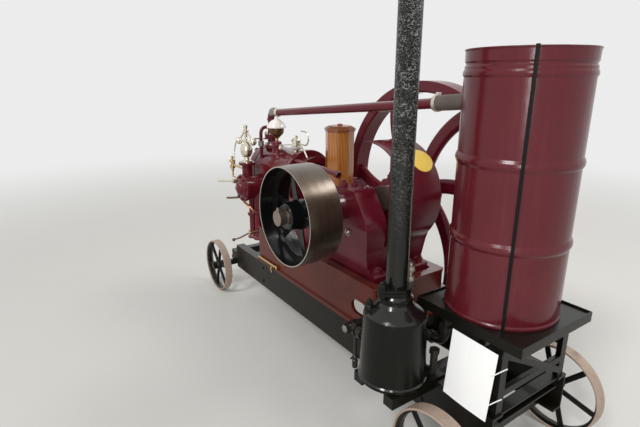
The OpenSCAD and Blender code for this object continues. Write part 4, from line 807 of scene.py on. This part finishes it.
# The disc on the guard: a thin shell that follows the sheet, (R cos a, y, R sin a) with a and y inside a circle
DISC_R, DISC_TURN = 0.070, math.radians(45)
DISC_BACK, DISC_MIDDLE, DISC_FACE = 0.2903, 0.291, 0.2925  # distances from the guard's own axis
GUARD_AXIS = at((CRANK_X, 98, CRANK_Z + 34))[0]
share, turn = np.meshgrid(np.linspace(0, 1, 14), np.linspace(0, 2 * np.pi, 48, endpoint=False))
angle = DISC_TURN + share * DISC_R * np.sin(turn) / DISC_MIDDLE
spread = share * DISC_R * np.cos(turn)


def on_guard(radius):
    """A point of the guard's sheet at a radius, for the disc's own angle and spread."""
    return GUARD_AXIS + np.stack([radius * np.cos(angle), spread, radius * np.sin(angle)], -1)


def shell(inner, outer):
    """A thin closed plate between two sampled surfaces: the outer, its rim, and the inner the other way round."""
    rim = np.stack([outer[:, -1], inner[:, -1]], 1)
    return joined(net(outer, round_u=True), net(rim, round_u=True), net(inner[:, ::-1], round_u=True))


piece("guard_disc", shell(on_guard(DISC_BACK), on_guard(DISC_FACE)), YELLOW)

# The card: a sheet with a slight curl, hung in front of the near legs. Each side is mixed by v from its top to its
# foot, and the sheet by u from side to side.
CARD_THICK, CURL, SAG = 0.0012, 0.004, 0.003
left_top, right_top, right_foot, left_foot = at(
    (1024, -262, 721), (1238, -262, 712), (1230, -280, 418), (1019, -280, 428)
)
u, v = np.meshgrid(np.linspace(0, 1, 20), np.linspace(0, 1, 24), indexing="ij")
across, down = u[..., None], v[..., None]
left, right = (1 - down) * left_top + down * left_foot, (1 - down) * right_top + down * right_foot
sheet = (1 - across) * left + across * right
sheet[..., 1] -= CURL * np.sin(np.pi * u) * v + SAG * v * v
behind = (0, CARD_THICK, 0)
edge = np.concatenate([sheet[:, 0], sheet[-1, 1:], sheet[-2::-1, -1], sheet[0, -2:0:-1]])
rim = net(np.stack([edge, edge + behind], 1), round_u=True)
piece("blank_card", joined(net(sheet), net((sheet + behind)[::-1]), rim), CARD)

TIES = [
    [(1222, -269, 612), (1236, -268, 628), (1258, -252, 652), (1270, -243, 664)],
    [(1222, -275, 484), (1230, -274, 492), (1250, -256, 514), (1262, -243, 526)],
]
piece("card_ties", joined(*[bar(corners, 2.4, 10, 8) for corners in TIES]), TIE)


# Stage: floor, light and camera

BACKDROP = 0.84  # how bright the pale background shows
SKYLIGHT = 0.54  # how bright it is as a light on the engine


def backdrop_rays(tree):
    """1 for a ray that shows the background straight, in gloss or through glass, and 0 for one that carries light."""
    rays = node(tree, "LightPath").outputs
    mirrored = sums(tree, "MAXIMUM", rays["Is Glossy Ray"], rays["Is Transmission Ray"])
    return sums(tree, "MAXIMUM", rays["Is Camera Ray"], mirrored)


def floor_skin(tree):
    """A pale floor with faint clouds and a fine grain."""
    clouds = times(tree, noise(tree, here(tree), 2.5, 4), 0.2)
    return {
        "Base Color": mixed(tree, clouds, tone(214, 213, 208), tone(200, 199, 193)),
        "bump": (noise(tree, here(tree), 90, 3), 0.2, 0.002),
    }


def fade_to_backdrop(tree, start, end):
    """Blends a material into the background between two distances from the middle, for the rays that show it."""
    far = node(tree, "VectorMath", {0: here(tree)}, operation="LENGTH").outputs["Value"]
    share = times(tree, ramp(tree, far, start, end), backdrop_rays(tree))
    glow = node(tree, "Emission", {"Color": (1, 1, 1, 1), "Strength": BACKDROP}).outputs[0]
    kinds = {made.type: made for made in tree.nodes}
    blended = node(tree, "MixShader", {0: share, 1: kinds["BSDF_PRINCIPLED"].outputs[0], 2: glow}).outputs[0]
    tree.links.new(blended, kinds["OUTPUT_MATERIAL"].inputs[0])


ground = finish("Pale floor", floor_skin, Roughness=0.85)
fade_to_backdrop(ground.node_tree, 3.0, 9.0)

radius, turn = np.meshgrid(np.array([0, 2, 5, 12, 40.0]), np.linspace(0, 2 * np.pi, 96, endpoint=False))
rings = np.stack([radius * np.cos(turn), radius * np.sin(turn), np.zeros_like(radius)], -1)
floor_points, floor_faces = net(rings, round_u=True)
floor_mesh = bpy.data.meshes.new("floor")
floor_mesh.from_pydata(floor_points.tolist(), [], floor_faces.tolist())
floor_mesh.materials.append(ground)
floor = bpy.data.objects.new("floor", floor_mesh)
bpy.context.scene.collection.objects.link(floor)

world = bpy.data.worlds.new("Overcast")
bpy.context.scene.world = world
world.use_nodes = True
world.node_tree.nodes.clear()
strength = ramp(world.node_tree, backdrop_rays(world.node_tree), 0.0, 1.0, SKYLIGHT, BACKDROP, "LINEAR")
sky = node(world.node_tree, "Background", {"Color": (1, 1, 1, 1), "Strength": strength})
node(world.node_tree, "OutputWorld", {"Surface": sky.outputs[0]})

# Lamps: an area's size is its width and height in metres, and a sun's is the angle it fills
Lamp = namedtuple("Lamp", "name kind place aim energy size")
LAMPS = [
    Lamp("soft_sun", "SUN", (1.2, -4.8, 5.6), (0, 0, 0.6), 1.2, math.radians(13)),
    Lamp("high_softbox", "AREA", (1.9, 3.2, 5.4), (0.3, -0.4, 1.0), 90.0, (2.4, 1.2)),
    Lamp("tall_softbox", "AREA", (3.9, -3.3, 2.6), (1.0, -0.1, 1.4), 66.0, (0.5, 3.0)),
]
for row in LAMPS:
    data = bpy.data.lights.new(row.name, row.kind)
    data.energy = row.energy
    if row.kind == "SUN":
        data.angle = row.size
    else:
        data.shape, (data.size, data.size_y) = "RECTANGLE", row.size
    lamp = bpy.data.objects.new(row.name, data)
    lamp.location = row.place
    lamp.rotation_mode = "QUATERNION"
    lamp.rotation_quaternion = (Vector(row.aim) - Vector(row.place)).to_track_quat("-Z", "Y")
    lamp.visible_camera = False
    bpy.context.scene.collection.objects.link(lamp)

# The photograph's own camera, solved from the flywheel, the drum, the bed and the wheels' feet
PICTURE_WIDTH, FOCAL_LENGTH, SENSOR = 640, 460.6, 36.0  # pixels, pixels and millimetres
CAMERA_AT, AZIMUTH, DIP = (2.183, -1.571, 1.70), math.radians(55.71), math.radians(16.43)
camera_data = bpy.data.cameras.new("camera")
camera_data.sensor_width = SENSOR
camera_data.lens = SENSOR * FOCAL_LENGTH / PICTURE_WIDTH
camera_data.clip_start, camera_data.clip_end = 0.05, 200
camera = bpy.data.objects.new("camera", camera_data)
bpy.context.scene.collection.objects.link(camera)
camera.location = CAMERA_AT
gaze = Vector((-math.sin(AZIMUTH) * math.cos(DIP), math.cos(AZIMUTH) * math.cos(DIP), -math.sin(DIP)))
camera.rotation_mode = "QUATERNION"
camera.rotation_quaternion = gaze.to_track_quat("-Z", "Y")
bpy.context.scene.camera = camera
bpy.context.scene.view_settings.view_transform = "Standard"
